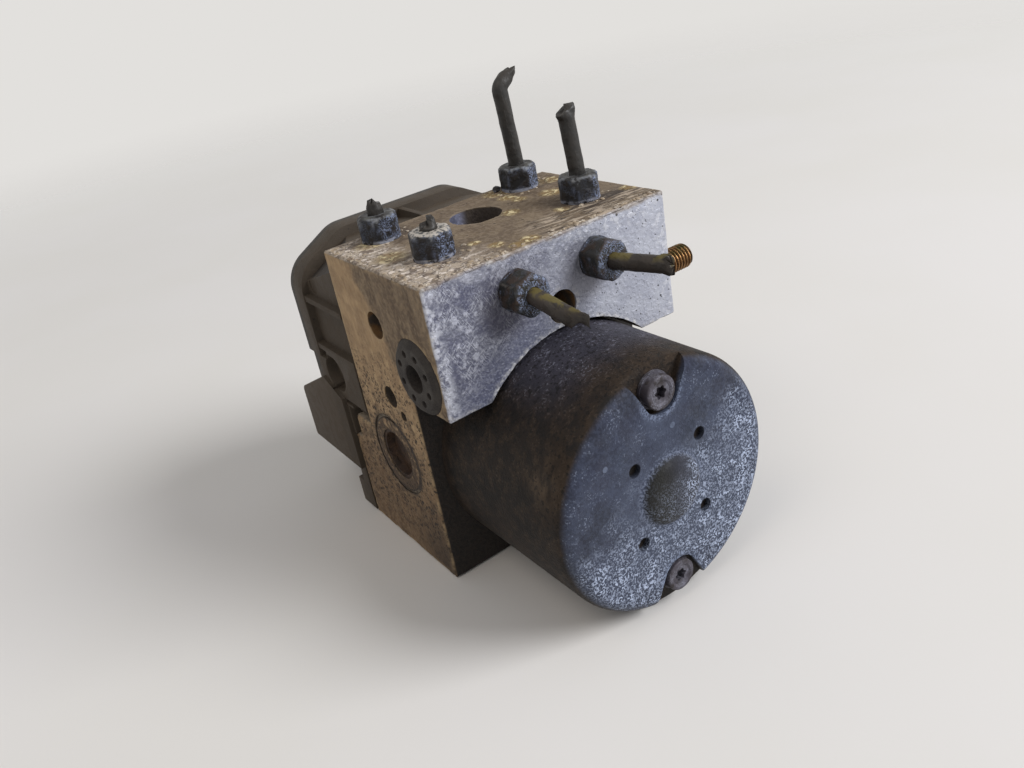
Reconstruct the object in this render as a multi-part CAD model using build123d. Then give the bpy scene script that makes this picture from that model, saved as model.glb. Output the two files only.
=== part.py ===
from build123d import *
import os
from math import cos, pi, radians, sin

# Anti-lock brake module: pump motor, valve block with cut brake pipes, and controller. Millimetres.
# Frame: +Z up, X across, -Y towards the pump motor. The origin is on the block's bottom face, at mid width,
# in the plane where the controller seats on the block.

os.makedirs("parts", exist_ok=True)

# Fits between pieces, all radial or face to face.
seat_gap = 0.05  # a pressed or screwed piece in its seat
running_gap = 0.06  # a piece that turns or slides in its bore
free_gap = 0.3  # surfaces that pass without touching

# Valve block: a head over the motor, a body behind it, and a stepped heel under the controller.
block_width = 82.0
head_depth = 56.2
head_height = 38.2
body_depth = 36.5
heel_depth = 15.8
heel_height = 32.4
heel_step_depth = 10.8
heel_step_height = 41.7
edge_break = 0.5
head_edge_break = 0.9

# Pump motor.
motor_axis_drop = 4.7  # below the heel's step
motor_radius = 36.5
motor_length = 55.3
motor_wall = 2.0
motor_end_round = 4.0
motor_arch_gap = 1.4
end_bump_radius = 10.0
end_bump_height = 2.2
dimple_radius = 2.1
dimple_depth = 1.0
dimple_circle = 16.2
bolt_circle = 28.8
bolt_shank_radius = 2.5
bolt_flange_radius = 5.2
bolt_flange_height = 0.8
bolt_head_radius = 4.7
bolt_head_height = 3.5
bolt_head_chamfer = 0.4
bolt_recess_radius = 1.9
bolt_recess_depth = 2.2
bolt_thread_length = 13.0
notch_radius = 6.0
notch_flare = 28  # each side's lean away from upright
notch_depth = 3.2
notch_wall = 2.0
magnet_thickness = 8.0
magnet_length = 34.0
magnet_setback = 8.0
magnet_half_angle = 60
armature_radius = 24.5
armature_length = 26.0
armature_clearance = 10.2
armature_slots = 8
slot_floor_radius = 11.0
slot_lip_radius = 21.5
slot_width = 5.2
slot_mouth_width = 2.0
winding_radius = 21.2
winding_inner_radius = 8.0
winding_overhang = 4.5
commutator_radius = 9.0
commutator_slit_width = 0.6
commutator_slit_depth = 1.2
brush_width = 8.0
brush_height = 5.0
brush_length = 9.0
brush_holder_wall = 1.2
brush_holder_gap = 3.0
brush_plate_thickness = 3.0
brush_plate_setback = 2.0
shaft_radius = 4.0
tail_journal_radius = 3.0
tail_bearing_radius = 7.9
tail_bearing_width = 4.6
drive_bearing_radius = 11.0
drive_bearing_width = 7.0
lead_radius = 2.2
lead_drop = 6.2  # below the outlet valves' axes

# Pump: an eccentric on the shaft drives two opposed pistons.
pump_y = -15.8
eccentric_radius = 5.8
eccentric_offset = 0.8
eccentric_width = 9.5
eccentric_ring_radius = 9.0
pump_bore_radius = 8.4
pump_piston_radius = 4.0
pump_piston_length = 12.5
pump_piston_lead_in = 0.6
pump_spring_radius = 2.9
pump_spring_wire = 0.5
pump_plug_length = 8.0
pump_shoulder = 1.0
pump_chamber_end = 3.0
pump_plug_recess_radius = 7.4
pump_plug_recess_depth = 2.6
pump_plug_sink = 0.4
stake_groove_radius = 13.0
stake_groove_width = 0.9
stake_groove_depth = 0.7
stake_gap_y = 4.0
stake_gap_z = 9.0

# Low-pressure accumulators, bored up from the bottom face.
accumulator_x = 20.0
accumulator_y = -12.0
accumulator_radius = 11.4
accumulator_depth = 24.0
accumulator_piston_length = 8.6
accumulator_crown = 3.0
accumulator_skirt_wall = 2.6
accumulator_cap_thickness = 3.4
accumulator_cap_sink = 0.8
accumulator_cap_dish_radius = 5.0
accumulator_cap_dish_depth = 1.2
accumulator_spring_radius = 6.8
accumulator_spring_wire = 0.8
spring_coils = 5

# Pipe ports and tube nuts.
port_x = 25.5
port_rear_y = -8.2
port_front_y = -38.2
front_port_x = 13.6
front_port_drop = 10.4
port_floor_wall = 7.4
port_radius = 4.6
port_depth = 12.0
port_drill_radius = 1.75
port_drill_depth = 16.0
nut_across_flats = 11.0
nut_height = 7.6
nut_chamfer = 0.9
nut_collar_height = 0.7
pipe_radius = 2.375
pipe_wall = 0.75
flare_radius = 3.6
flare_length = 1.6
pipe_bend_radius = 7.0
cut_block = 40.0

# Each pipe's route from its port, ahead of the face: (x shift, cross shift, reach). Its cut end is crushed
# over a length to a flat oval, rolled about the pipe, and the cut is tilted.
routes = {
    "rear_right": [(0, 0, 9), (-2.0, 0.8, 30), (0.6, 0.9, 33)],
    "front_right": [(0, 0, 9), (-0.6, 0.6, 22.5)],
    "rear_left": [(0, 0, 9)],
    "front_left": [(0, 0, 8)],
    "motor_left": [(0, 0, 8), (1.1, -2.2, 15)],
    "motor_right": [(0, 0, 8), (3.2, 0.4, 20)],
}
crushed_ends = {
    "rear_right": {"length": 4.0, "half_width": 2.9, "half_thickness": 1.6, "roll": 90, "tilt": 30},
    "front_right": {"length": 5.0, "half_width": 3.4, "half_thickness": 1.3, "roll": 0, "tilt": -18},
    "rear_left": {"length": 2.0, "half_width": 2.0, "half_thickness": 1.7, "roll": 30, "tilt": 24},
    "front_left": {"length": 2.0, "half_width": 2.2, "half_thickness": 1.2, "roll": 0, "tilt": -30},
    "motor_left": {"length": 8.0, "half_width": 3.4, "half_thickness": 0.9, "roll": 90, "tilt": -45},
    "motor_right": {"length": 5.0, "half_width": 1.5, "half_thickness": 3.0, "roll": 0, "tilt": 0},
}

# Open bores in the block.
top_bore = {"x": 1.0, "y": -18.8, "radius": 8.0, "depth": 14.0}
face_bore = {"x": 0.3, "drop": 20.4, "radius": 4.8, "depth": 14.0}
side_bore = {"y": -24.0, "drop": 17.9, "radius": 4.2, "depth": 11.0}
side_drilling = {"y": -21.9, "drop": 41.6, "radius": 3.5, "depth": 14.0}
side_dimple = {"y": -27.5, "drop": 46.2, "radius": 1.6, "depth": 1.2}

# Rubber isolators in the block's sides, and the stud that is left in the right one.
isolator_y = -44.2
isolator_drop = 27.9
isolator_radius = 11.0
isolator_seat_depth = 12.0
isolator_proud = 1.5
isolator_face_radius = 9.3
isolator_hole_radius = 4.1
isolator_pin_holes = 8
isolator_pin_start = 24
isolator_pin_circle = 7.2
isolator_pin_hole_radius = 1.0
isolator_pin_hole_depth = 3.0
stud_radius = 4.0
stud_core_radius = 3.35
stud_shank_radius = 3.7
stud_free_length = 19.0
stud_buried_length = 8.5

# Solenoid valves: four inlet valves above four outlet valves, in the block's rear face.
valve_radius = 5.4
valve_depth = 17.0
valve_dome_radius = 3.5
valve_dome_length = 21.0
coil_radius = 8.5
coil_side_gap = 1.4
coil_row_gap = 2.0
coil_wall_gap = 0.4
coil_floor_gap = 4.3
coil_front = 1.2
coil_flange = 1.4
coil_winding_depth = 0.7
coil_pin_spacing = 3.2
coil_pin_width = 0.8
coil_pin_lift = 1.2

# Controller: a moulded housing, open towards the block, with a lid behind.
rim_top_rise = 13.4
rim_top_half_width = 23.1
rim_shoulder_rise = 3.2
rim_round = 12.0
rim_front_y = 27.3
lid_seat_y = 34.3
lid_thickness = 3.0
low_rim_front_y = 22.3
low_rim_z = 46.0
low_wall_top_z = 51.5
low_rim_top_z = 58.7
low_rim_setback = 4.3
chamber_side_inset = 2.6
chamber_top_inset = 3.6
chamber_wall = 2.4
chamber_floor_wall = 2.5
joint_gap = 0.4
rib_thickness = 2.0
side_rib_z = [62.6, 79.5]
side_rib_inset = 0.3
flank_pocket_front_y = 12.0
flank_pocket_depth = 3.4
corner_slot = {"front_y": 20.5, "back_y": 25.5, "low_z": 81.5, "high_z": 89.0, "depth": 3.0}
heel_pocket_width = 5.5
heel_pocket_depth = 3.6
heel_pocket_roof = 0.8
lower_back_y = 25.0
foot_back_y = 25.5
foot_height = 10.5
foot_lift = 0.6
foot_notch_y = 21.0
connector_left_x = -42.6
connector_right_x = 15.5
connector_bottom_z = 18.3
connector_back_y = 53.6
connector_back_top_z = 38.8
connector_shoulder_y = 28.1
connector_shoulder_z = 51.1
connector_front_top_z = 46.0
connector_wall = 2.5
connector_depth = 22.5
connector_round = 3.5
connector_socket_round = 1.5
contact_columns = 13
contact_start = 14.0
contact_pitch = 2.8
contact_row_spacing = 5.0
contact_width = 0.8
contact_length = 12.0
contact_root = 3.0
power_start = 4.0
power_pitch = 4.8
power_contact_width = 2.8
seal_width = 1.2
seal_thickness = 2.0
board_thickness = 1.6
board_edge_gap = 0.4
board_ledge_width = 1.6
board_ledge_height = 0.9
board_components = [
    (-9, 9, 70, 88, 1.6),
    (20, 33, 71, 84, 3.6),
    (-33, -22, 72, 84, 2.2),
    (-5, 5, 62, 68, 2.0),
]
lid_chamfer = 0.8
lid_panel_pitch = 27.0
lid_panel_width = 19.0
lid_panel_depth = 0.8
lid_panel_z = (74.0, 84.0)
screw_radius = 2.0
screw_head_radius = 3.6
screw_head_height = 2.4
screw_head_seat = 1.4
screw_recess_radius = 1.5
screw_recess_depth = 1.6
screw_boss_radius = 4.1
screw_thread_length = 9.0
low_screw_x = 34.0
low_screw_z = 5.5

# Places that follow from the sizes above. The coils set the valves' pitch, the height of the block, and the
# controller's outline round them.
half_width = block_width / 2
pump_sleeve_end = half_width - pump_plug_length
valve_pitch_x = 2 * coil_radius + coil_side_gap
motor_axis_z = heel_step_height - motor_axis_drop
outlet_z = heel_step_height + free_gap + chamber_wall + coil_floor_gap + coil_radius
lead_z = outlet_z - lead_drop
inlet_z = outlet_z + 2 * coil_radius + coil_row_gap
valve_row_z = {"inlet": inlet_z, "outlet": outlet_z}
block_height = inlet_z + valve_radius + port_floor_wall + port_depth
rim_half_width = 1.5 * valve_pitch_x + coil_radius + coil_wall_gap + chamber_wall + chamber_side_inset
rim_shoulder_z = inlet_z + coil_radius + rim_shoulder_rise
rim_top_z = inlet_z + coil_radius + rim_top_rise
isolator_z = block_height - isolator_drop
front_port_z = block_height - front_port_drop
motor_end_y = -body_depth - motor_length
head_bottom_z = block_height - head_height
sleeve_front_x = eccentric_ring_radius + eccentric_offset + 1.4
piston_rest_x = eccentric_ring_radius + eccentric_offset + 0.2
heel_clear_y = heel_depth + free_gap
turns = {"x": Rot(0, 90, 0), "y": Rot(-90, 0, 0), "z": Rot(0, 0, 0)}
towards_motor = Rot(90, 0, 0)


def box_between(x, y, z):
    """A box given by its (low, high) along each axis."""
    size = [high - low for low, high in (x, y, z)]
    middle = [(low + high) / 2 for low, high in (x, y, z)]
    return Pos(*middle) * Box(*size)


def rod(direction, radius, start, end, at=(0, 0, 0)):
    """A cylinder along an axis between two stations; `at` places its axis."""
    centre = (start + end) / 2
    shift = {"x": (centre, 0, 0), "y": (0, centre, 0), "z": (0, 0, centre)}[direction]
    return Pos(*at) * Pos(*shift) * turns[direction] * Cylinder(radius, abs(end - start))


def turned(direction, profile, at=(0, 0, 0)):
    """A solid of revolution; the profile is a closed list of (radius, station)."""
    outline = Polyline(*[(radius, 0, station) for radius, station in profile], close=True)
    return Pos(*at) * turns[direction] * revolve(make_face(outline), Axis.Z)


def tube(direction, outer, inner, start, end, at=(0, 0, 0)):
    return turned(direction, [(inner, start), (outer, start), (outer, end), (inner, end)], at)


def side_prism(points, x_low, x_high):
    """A prism along X on an outline of (y, z) points."""
    face = Plane.YZ * make_face(Polyline(*points, close=True))
    return Pos(x_low, 0, 0) * extrude(face, amount=x_high - x_low)


def back_outline(side_inset, top_inset, bottom_z, y, corner_round=0.0):
    """The controller's outline seen from behind, as a face at station y."""
    slope_in = (side_inset + top_inset) / 2
    right = rim_half_width - side_inset
    top = rim_top_z - top_inset
    points = [
        (-right, bottom_z),
        (right, bottom_z),
        (right, rim_shoulder_z - slope_in),
        (rim_top_half_width - slope_in / 2, top),
        (slope_in / 2 - rim_top_half_width, top),
        (-right, rim_shoulder_z - slope_in),
    ]
    outline = make_face(Polyline(*[(x, y, z) for x, z in points], close=True))
    if not corner_round:
        return outline
    corners = [corner for corner in outline.vertices() if corner.Z > bottom_z + 1]
    return fillet(corners, corner_round)


def back_prism(side_inset, top_inset, bottom_z, y_low, y_high, corner_round=0.0):
    outline = back_outline(side_inset, top_inset, bottom_z, y_low, corner_round)
    return extrude(outline, amount=y_high - y_low, dir=(0, 1, 0))


def coil_spring(direction, mean_radius, wire_radius, start, end, at):
    """A helical compression spring with its ends at two stations."""
    length = abs(end - start) - 2 * wire_radius
    path = Helix(pitch=length / spring_coils, height=length, radius=mean_radius)
    section = Plane(origin=path @ 0, z_dir=path % 0) * RegularPolygon(wire_radius, 5)
    spring = Pos(0, 0, min(start, end) + wire_radius) * sweep(section, path=path)
    return Pos(*at) * turns[direction] * spring


def valve_places():
    """Each valve's name with its x and z."""
    for kind, z in valve_row_z.items():
        for column in range(4):
            yield f"{kind}_{column + 1}", (column - 1.5) * valve_pitch_x, z


def top_ports():
    for name, side, y in (
        ("rear_right", 1, port_rear_y),
        ("front_right", 1, port_front_y),
        ("rear_left", -1, port_rear_y),
        ("front_left", -1, port_front_y),
    ):
        yield name, side * port_x, y


def valve_block():
    outline = [
        (-head_depth, head_bottom_z),
        (-head_depth, block_height),
        (0, block_height),
        (0, heel_step_height),
        (heel_step_depth, heel_step_height),
        (heel_step_depth, heel_height),
        (heel_depth, heel_height),
        (heel_depth, 0),
        (-body_depth, 0),
        (-body_depth, head_bottom_z),
    ]
    block = side_prism(outline, -half_width, half_width)
    block = chamfer(block.edges(), edge_break)
    motor_axis = (0, 0, motor_axis_z)
    block -= rod("y", motor_radius + motor_arch_gap, -head_depth - 1, -body_depth, motor_axis)
    for side in (-1, 1):
        face = side * half_width
        isolator_axis = (0, isolator_y, isolator_z)
        seat_end = face - side * isolator_seat_depth
        block -= rod("x", isolator_radius + seat_gap, face, seat_end, isolator_axis)
        thread_end = seat_end - side * (stud_buried_length + free_gap)
        block -= rod("x", stud_core_radius + seat_gap, seat_end, thread_end, isolator_axis)
        pump_axis = (0, pump_y, motor_axis_z)
        block -= rod("x", pump_bore_radius + seat_gap, face, side * sleeve_front_x, pump_axis)
        block -= rod("x", pump_bore_radius - pump_shoulder, side * sleeve_front_x, 0, pump_axis)
        stake = tube(
            "x",
            stake_groove_radius + stake_groove_width / 2,
            stake_groove_radius - stake_groove_width / 2,
            face,
            face - side * stake_groove_depth,
            pump_axis,
        )
        reach = 2 * stake_groove_radius
        gap_y = (pump_y - reach, pump_y - stake_gap_y)
        gap_z = (motor_axis_z - stake_gap_z, motor_axis_z + reach)
        block -= stake - box_between((-block_width, block_width), gap_y, gap_z)
        accumulator_axis = (side * accumulator_x, accumulator_y, 0)
        block -= rod("z", accumulator_radius + running_gap, 0, accumulator_depth, accumulator_axis)
        front_port = (side * front_port_x, 0, front_port_z)
        block -= rod("y", port_radius, -head_depth, -head_depth + port_depth, front_port)
        block -= rod("y", port_drill_radius, -head_depth, -head_depth + port_drill_depth, front_port)
    for _, x, y in top_ports():
        block -= rod("z", port_radius, block_height - port_depth, block_height, (x, y, 0))
        block -= rod("z", port_drill_radius, block_height - port_drill_depth, block_height, (x, y, 0))
    for _, x, z in valve_places():
        block -= rod("y", valve_radius + seat_gap, -valve_depth - seat_gap, 0, (x, 0, z))
    bearing_end = -body_depth + drive_bearing_width
    block -= rod("y", drive_bearing_radius + seat_gap, -body_depth, bearing_end, motor_axis)
    chamber_end = pump_y + eccentric_width / 2 + pump_chamber_end
    chamber_radius = eccentric_ring_radius + eccentric_offset + free_gap
    block -= rod("y", chamber_radius, bearing_end, chamber_end, motor_axis)
    block -= rod("y", lead_radius + seat_gap, -body_depth, 0, (0, 0, lead_z))
    bolt_hole_end = -body_depth + bolt_thread_length + 1
    for bolt_z in (motor_axis_z - bolt_circle, motor_axis_z + bolt_circle):
        block -= rod("y", bolt_shank_radius + seat_gap, -body_depth, bolt_hole_end, (0, 0, bolt_z))
    screw_hole = screw_thread_length + 1
    for axis in centre_screw_axes():
        block -= rod("y", screw_radius + seat_gap, -screw_hole, 0, axis)
    for axis in low_screw_axes():
        block -= rod("y", screw_radius + seat_gap, heel_depth - screw_hole, heel_depth, axis)
    top_axis = (top_bore["x"], top_bore["y"], 0)
    block -= rod("z", top_bore["radius"], block_height - top_bore["depth"], block_height, top_axis)
    face_axis = (face_bore["x"], 0, block_height - face_bore["drop"])
    block -= rod("y", face_bore["radius"], -head_depth, -head_depth + face_bore["depth"], face_axis)
    for hole in (side_bore, side_drilling, side_dimple):
        place = (0, hole["y"], block_height - hole["drop"])
        block -= rod("x", hole["radius"], -half_width, -half_width + hole["depth"], place)
    return block


def bolt_notch(side, radius, y_low, y_high):
    """A pocket round a bolt's axis, whose sides flare out past the can's rim."""
    lean = radians(notch_flare)
    reach = motor_radius + 1 - bolt_circle
    near_x = radius * cos(lean)
    near_z = -radius * sin(lean)
    far_x = (radius + reach * sin(lean)) / cos(lean)
    points = [(-near_x, near_z), (near_x, near_z), (far_x, reach), (-far_x, reach)]
    centre_z = motor_axis_z + side * bolt_circle
    outline = Polyline(*[(x, y_low, centre_z + side * z) for x, z in points], close=True)
    flared = extrude(make_face(outline), amount=y_high - y_low, dir=(0, 1, 0))
    return flared + rod("y", radius, y_low, y_high, (0, 0, centre_z))


def motor_can():
    end = motor_end_y
    inner = motor_radius - motor_wall
    axis = (0, 0, motor_axis_z)
    bump = [
        (0, end - end_bump_height),
        (end_bump_radius * 0.62, end - end_bump_height),
        (end_bump_radius * 0.9, end - end_bump_height * 0.6),
        (end_bump_radius, end),
    ]
    corner = []
    for step in range(5):
        angle = radians(90 * step / 4)
        radius = motor_radius - motor_end_round * (1 - sin(angle))
        corner.append((radius, end + motor_end_round * (1 - cos(angle))))
    envelope = turned("y", bump + corner + [(motor_radius, -body_depth), (0, -body_depth)], axis)
    pocket_floor = end - end_bump_height + motor_wall
    hollow = [
        (0, pocket_floor),
        (tail_bearing_radius + seat_gap, pocket_floor),
        (tail_bearing_radius + seat_gap, end + motor_wall),
        (inner - motor_end_round + motor_wall, end + motor_wall),
        (inner, end + motor_end_round),
        (inner, -body_depth),
        (0, -body_depth),
    ]
    can = envelope - turned("y", hollow, axis)
    notch_floor = end + notch_depth
    pad_floor = notch_floor + notch_wall
    for side in (-1, 1):
        bolt_axis = (0, 0, motor_axis_z + side * bolt_circle)
        can += bolt_notch(side, notch_radius + notch_wall, end, pad_floor) & envelope
        can -= bolt_notch(side, notch_radius, end - 1, notch_floor)
        can -= rod("y", bolt_shank_radius + free_gap, end, pad_floor, bolt_axis)
    for quarter in range(4):
        angle = radians(45 + 90 * quarter)
        dimple_axis = (dimple_circle * cos(angle), 0, motor_axis_z + dimple_circle * sin(angle))
        can -= rod("y", dimple_radius, end, end + dimple_depth, dimple_axis)
    return can


def motor_bolts():
    bolts = []
    head_seat = motor_end_y + notch_depth
    for side in (-1, 1):
        axis = (0, 0, motor_axis_z + side * bolt_circle)
        bolt = rod("y", bolt_shank_radius, head_seat, -body_depth + bolt_thread_length, axis)
        top = head_seat - bolt_head_height
        bolt += turned(
            "y",
            [
                (0, top),
                (bolt_head_radius - bolt_head_chamfer, top),
                (bolt_head_radius, top + bolt_head_chamfer),
                (bolt_head_radius, head_seat - bolt_flange_height),
                (bolt_flange_radius, head_seat - bolt_flange_height),
                (bolt_flange_radius, head_seat),
                (0, head_seat),
            ],
            axis,
        )
        for star in range(3):
            lobe = Box(2 * bolt_recess_radius, bolt_recess_depth, bolt_recess_radius * 0.62)
            bolt -= Pos(0, top + bolt_recess_depth / 2, axis[2]) * Rot(0, 60 * star, 0) * lobe
        bolts.append(bolt)
    return Compound(children=bolts)


def motor_magnets():
    outer = motor_radius - motor_wall - seat_gap
    y_low = motor_end_y + magnet_setback
    y_high = y_low + magnet_length
    ring = tube("y", outer, outer - magnet_thickness, y_low, y_high, (0, 0, motor_axis_z))
    magnets = []
    for side in (-1, 1):
        reach = motor_radius * 2
        edge = [(0, 0)]
        for angle in (-magnet_half_angle, -magnet_half_angle / 3, magnet_half_angle / 3, magnet_half_angle):
            edge.append((side * reach * cos(radians(angle)), reach * sin(radians(angle))))
        wedge = make_face(Polyline(*[(x, y_low - 1, motor_axis_z + z) for x, z in edge], close=True))
        magnets += (ring & extrude(wedge, amount=y_high - y_low + 2, dir=(0, 1, 0))).solids()
    return Compound(children=magnets)


def brush_plate_front():
    return -body_depth - brush_plate_setback - brush_plate_thickness


def brush_plate():
    axis = (0, 0, motor_axis_z)
    front = brush_plate_front()
    back = front + brush_plate_thickness
    plate = tube("y", motor_radius - motor_wall - seat_gap, commutator_radius + 2.5, front, back, axis)
    for side in (-1, 1):
        bolt_axis = (0, 0, motor_axis_z + side * bolt_circle)
        plate -= rod("y", bolt_shank_radius + free_gap, front, -body_depth, bolt_axis)
        holder_start = commutator_radius + brush_holder_gap
        x_low, x_high = sorted((side * holder_start, side * (holder_start + brush_length)))
        half = brush_height / 2 + brush_holder_wall
        y_low = front - brush_width - brush_holder_wall
        holder = box_between((x_low, x_high), (y_low, front), (motor_axis_z - half, motor_axis_z + half))
        guide_y = (front - brush_width - seat_gap, front + seat_gap)
        guide_z = (motor_axis_z - brush_height / 2 - seat_gap, motor_axis_z + brush_height / 2 + seat_gap)
        plate += holder
        plate -= box_between((x_low - 1, x_high + 1), guide_y, guide_z)
    plate += rod("y", lead_radius, back, -body_depth, (0, 0, lead_z))
    return plate


def motor_brushes():
    front = brush_plate_front()
    brushes = []
    for side in (-1, 1):
        contact = commutator_radius + running_gap
        x_low, x_high = sorted((side * contact, side * (contact + brush_length)))
        brushes.append(
            box_between(
                (x_low, x_high),
                (front - brush_width, front),
                (motor_axis_z - brush_height / 2, motor_axis_z + brush_height / 2),
            )
        )
    return Compound(children=brushes)


def motor_lead():
    """The moulded pin that carries the motor's current through the block to the board."""
    return rod("y", lead_radius, -body_depth, board_front(), (0, 0, lead_z))


def tail_bearing():
    start = motor_end_y - end_bump_height + motor_wall
    axis = (0, 0, motor_axis_z)
    inner = tail_journal_radius + running_gap
    return tube("y", tail_bearing_radius, inner, start, start + tail_bearing_width, axis)


def drive_bearing():
    inner = shaft_radius + running_gap
    end = -body_depth + drive_bearing_width
    return tube("y", drive_bearing_radius, inner, -body_depth, end, (0, 0, motor_axis_z))


def motor_shaft():
    tail = motor_end_y - end_bump_height + motor_wall + 0.2
    tail_end = tail + tail_bearing_width + 0.6
    eccentric_start = pump_y - eccentric_width / 2
    eccentric_end = pump_y + eccentric_width / 2
    profile = [
        (0, tail),
        (tail_journal_radius, tail),
        (tail_journal_radius, tail_end),
        (shaft_radius, tail_end),
        (shaft_radius, eccentric_end + 2),
        (0, eccentric_end + 2),
    ]
    shaft = turned("y", profile, (0, 0, motor_axis_z))
    cam_axis = (0, 0, motor_axis_z + eccentric_offset)
    return shaft + rod("y", eccentric_radius, eccentric_start, eccentric_end, cam_axis)


def eccentric_ring():
    axis = (0, 0, motor_axis_z + eccentric_offset)
    start = pump_y - eccentric_width / 2
    return tube("y", eccentric_ring_radius, eccentric_radius + seat_gap, start, start + eccentric_width, axis)


def armature_span():
    start = motor_end_y + armature_clearance
    return start, start + armature_length


def armature_core():
    start, end = armature_span()
    axis = (0, 0, motor_axis_z)
    core = tube("y", armature_radius, shaft_radius + seat_gap, start, end, axis)
    for slot in range(armature_slots):
        half = slot_width / 2
        mouth = slot_mouth_width / 2
        cut = box_between((slot_floor_radius, slot_lip_radius), (start, end), (-half, half))
        cut += box_between((slot_lip_radius, armature_radius + 1), (start, end), (-mouth, mouth))
        core -= Pos(0, 0, motor_axis_z) * Rot(0, 360 / armature_slots * slot, 0) * cut
    return core


def armature_winding():
    start, end = armature_span()
    axis = (0, 0, motor_axis_z)
    winding = None
    for low, high in ((start - winding_overhang, start - seat_gap), (end + seat_gap, end + winding_overhang)):
        ring = tube("y", winding_radius, winding_inner_radius, low, high, axis)
        winding = ring if winding is None else winding + ring
    for slot in range(armature_slots):
        half = slot_width / 2 - seat_gap
        bundle_reach = (slot_floor_radius + seat_gap, winding_radius)
        bundle = box_between(bundle_reach, (start - 1, end + 1), (-half, half))
        winding += Pos(0, 0, motor_axis_z) * Rot(0, 360 / armature_slots * slot, 0) * bundle
    return winding


def commutator():
    start = armature_span()[1] + winding_overhang
    end = brush_plate_front() + 0.5
    axis = (0, 0, motor_axis_z)
    body = tube("y", commutator_radius, shaft_radius + seat_gap, start, end, axis)
    for bar in range(armature_slots):
        half = commutator_slit_width / 2
        depth = (commutator_radius - commutator_slit_depth, commutator_radius + 1)
        slit = box_between(depth, (start, end), (-half, half))
        body -= Pos(0, 0, motor_axis_z) * Rot(0, 360 / armature_slots * bar, 0) * slit
    return body


def pump_sleeve(side):
    axis = (0, pump_y, motor_axis_z)
    inner = pump_piston_radius + running_gap
    return tube("x", pump_bore_radius, inner, side * sleeve_front_x, side * pump_sleeve_end, axis)


def pump_piston(side):
    end = piston_rest_x + pump_piston_length
    profile = [
        (0, piston_rest_x),
        (pump_piston_radius - pump_piston_lead_in, piston_rest_x),
        (pump_piston_radius, piston_rest_x + pump_piston_lead_in),
        (pump_piston_radius, end),
        (0, end),
    ]
    return turned("x", [(radius, side * station) for radius, station in profile], (0, pump_y, motor_axis_z))


def pump_spring(side):
    start = piston_rest_x + pump_piston_length
    axis = (0, pump_y, motor_axis_z)
    return coil_spring("x", pump_spring_radius, pump_spring_wire, side * start, side * pump_sleeve_end, axis)


def pump_plug(side):
    face = half_width - pump_plug_sink
    floor = face - pump_plug_recess_depth
    profile = [
        (0, pump_sleeve_end),
        (pump_bore_radius, pump_sleeve_end),
        (pump_bore_radius, face),
        (pump_plug_recess_radius, face),
        (pump_plug_recess_radius - 0.5, floor),
        (0, floor),
    ]
    return turned("x", [(radius, side * station) for radius, station in profile], (0, pump_y, motor_axis_z))


def accumulator_piston(side):
    top = accumulator_depth - free_gap
    bottom = top - accumulator_piston_length
    inner = accumulator_radius - accumulator_skirt_wall
    profile = [
        (0, top),
        (accumulator_radius - 0.8, top),
        (accumulator_radius, top - 0.8),
        (accumulator_radius, bottom),
        (inner, bottom),
        (inner, top - accumulator_crown),
        (0, top - accumulator_crown),
    ]
    return turned("z", profile, (side * accumulator_x, accumulator_y, 0))


def accumulator_spring(side):
    low = accumulator_cap_sink + accumulator_cap_thickness
    high = accumulator_depth - free_gap - accumulator_crown
    axis = (side * accumulator_x, accumulator_y, 0)
    return coil_spring("z", accumulator_spring_radius, accumulator_spring_wire, low, high, axis)


def accumulator_cap(side):
    top = accumulator_cap_sink + accumulator_cap_thickness
    axis = (side * accumulator_x, accumulator_y, 0)
    cap = rod("z", accumulator_radius, accumulator_cap_sink, top, axis)
    dish_top = accumulator_cap_sink + accumulator_cap_dish_depth
    return cap - rod("z", accumulator_cap_dish_radius, accumulator_cap_sink, dish_top, axis)


def isolator(side):
    face = side * (half_width + isolator_proud)
    inner_face = side * (half_width - isolator_seat_depth)
    profile = [
        (isolator_hole_radius, inner_face),
        (isolator_radius, inner_face),
        (isolator_radius, side * half_width),
        (isolator_face_radius, face),
        (isolator_hole_radius, face),
    ]
    disc = turned("x", profile, (0, isolator_y, isolator_z))
    for hole in range(isolator_pin_holes):
        angle = radians(360 / isolator_pin_holes * hole + isolator_pin_start)
        pin_y = isolator_y + isolator_pin_circle * cos(angle)
        pin_z = isolator_z + isolator_pin_circle * sin(angle)
        pin_end = face - side * isolator_pin_hole_depth
        disc -= rod("x", isolator_pin_hole_radius, face, pin_end, (0, pin_y, pin_z))
    return disc


def mounting_stud():
    shoulder = half_width - isolator_seat_depth
    thread_start = half_width + isolator_proud + free_gap
    tip = half_width + stud_free_length
    profile = [
        (0, shoulder - stud_buried_length),
        (stud_core_radius, shoulder - stud_buried_length),
        (stud_core_radius, shoulder),
        (stud_shank_radius, shoulder),
        (stud_shank_radius, thread_start),
        (stud_radius, thread_start),
        (stud_radius, tip - 2.0),
        (stud_radius * 0.86, tip - 0.8),
        (stud_radius * 0.5, tip),
        (0, tip),
    ]
    return turned("x", profile, (0, isolator_y, isolator_z))


def valve_body(x, z):
    profile = [
        (0, -valve_depth),
        (valve_radius - 1.0, -valve_depth),
        (valve_radius, -valve_depth + 1.0),
        (valve_radius, -0.2),
        (valve_dome_radius, -0.2),
        (valve_dome_radius, valve_dome_length - 1.2),
        (valve_dome_radius - 1.2, valve_dome_length),
        (0, valve_dome_length),
    ]
    return turned("y", profile, (x, 0, z))


def coil_back():
    return rim_front_y - chamber_floor_wall - 0.2


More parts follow.
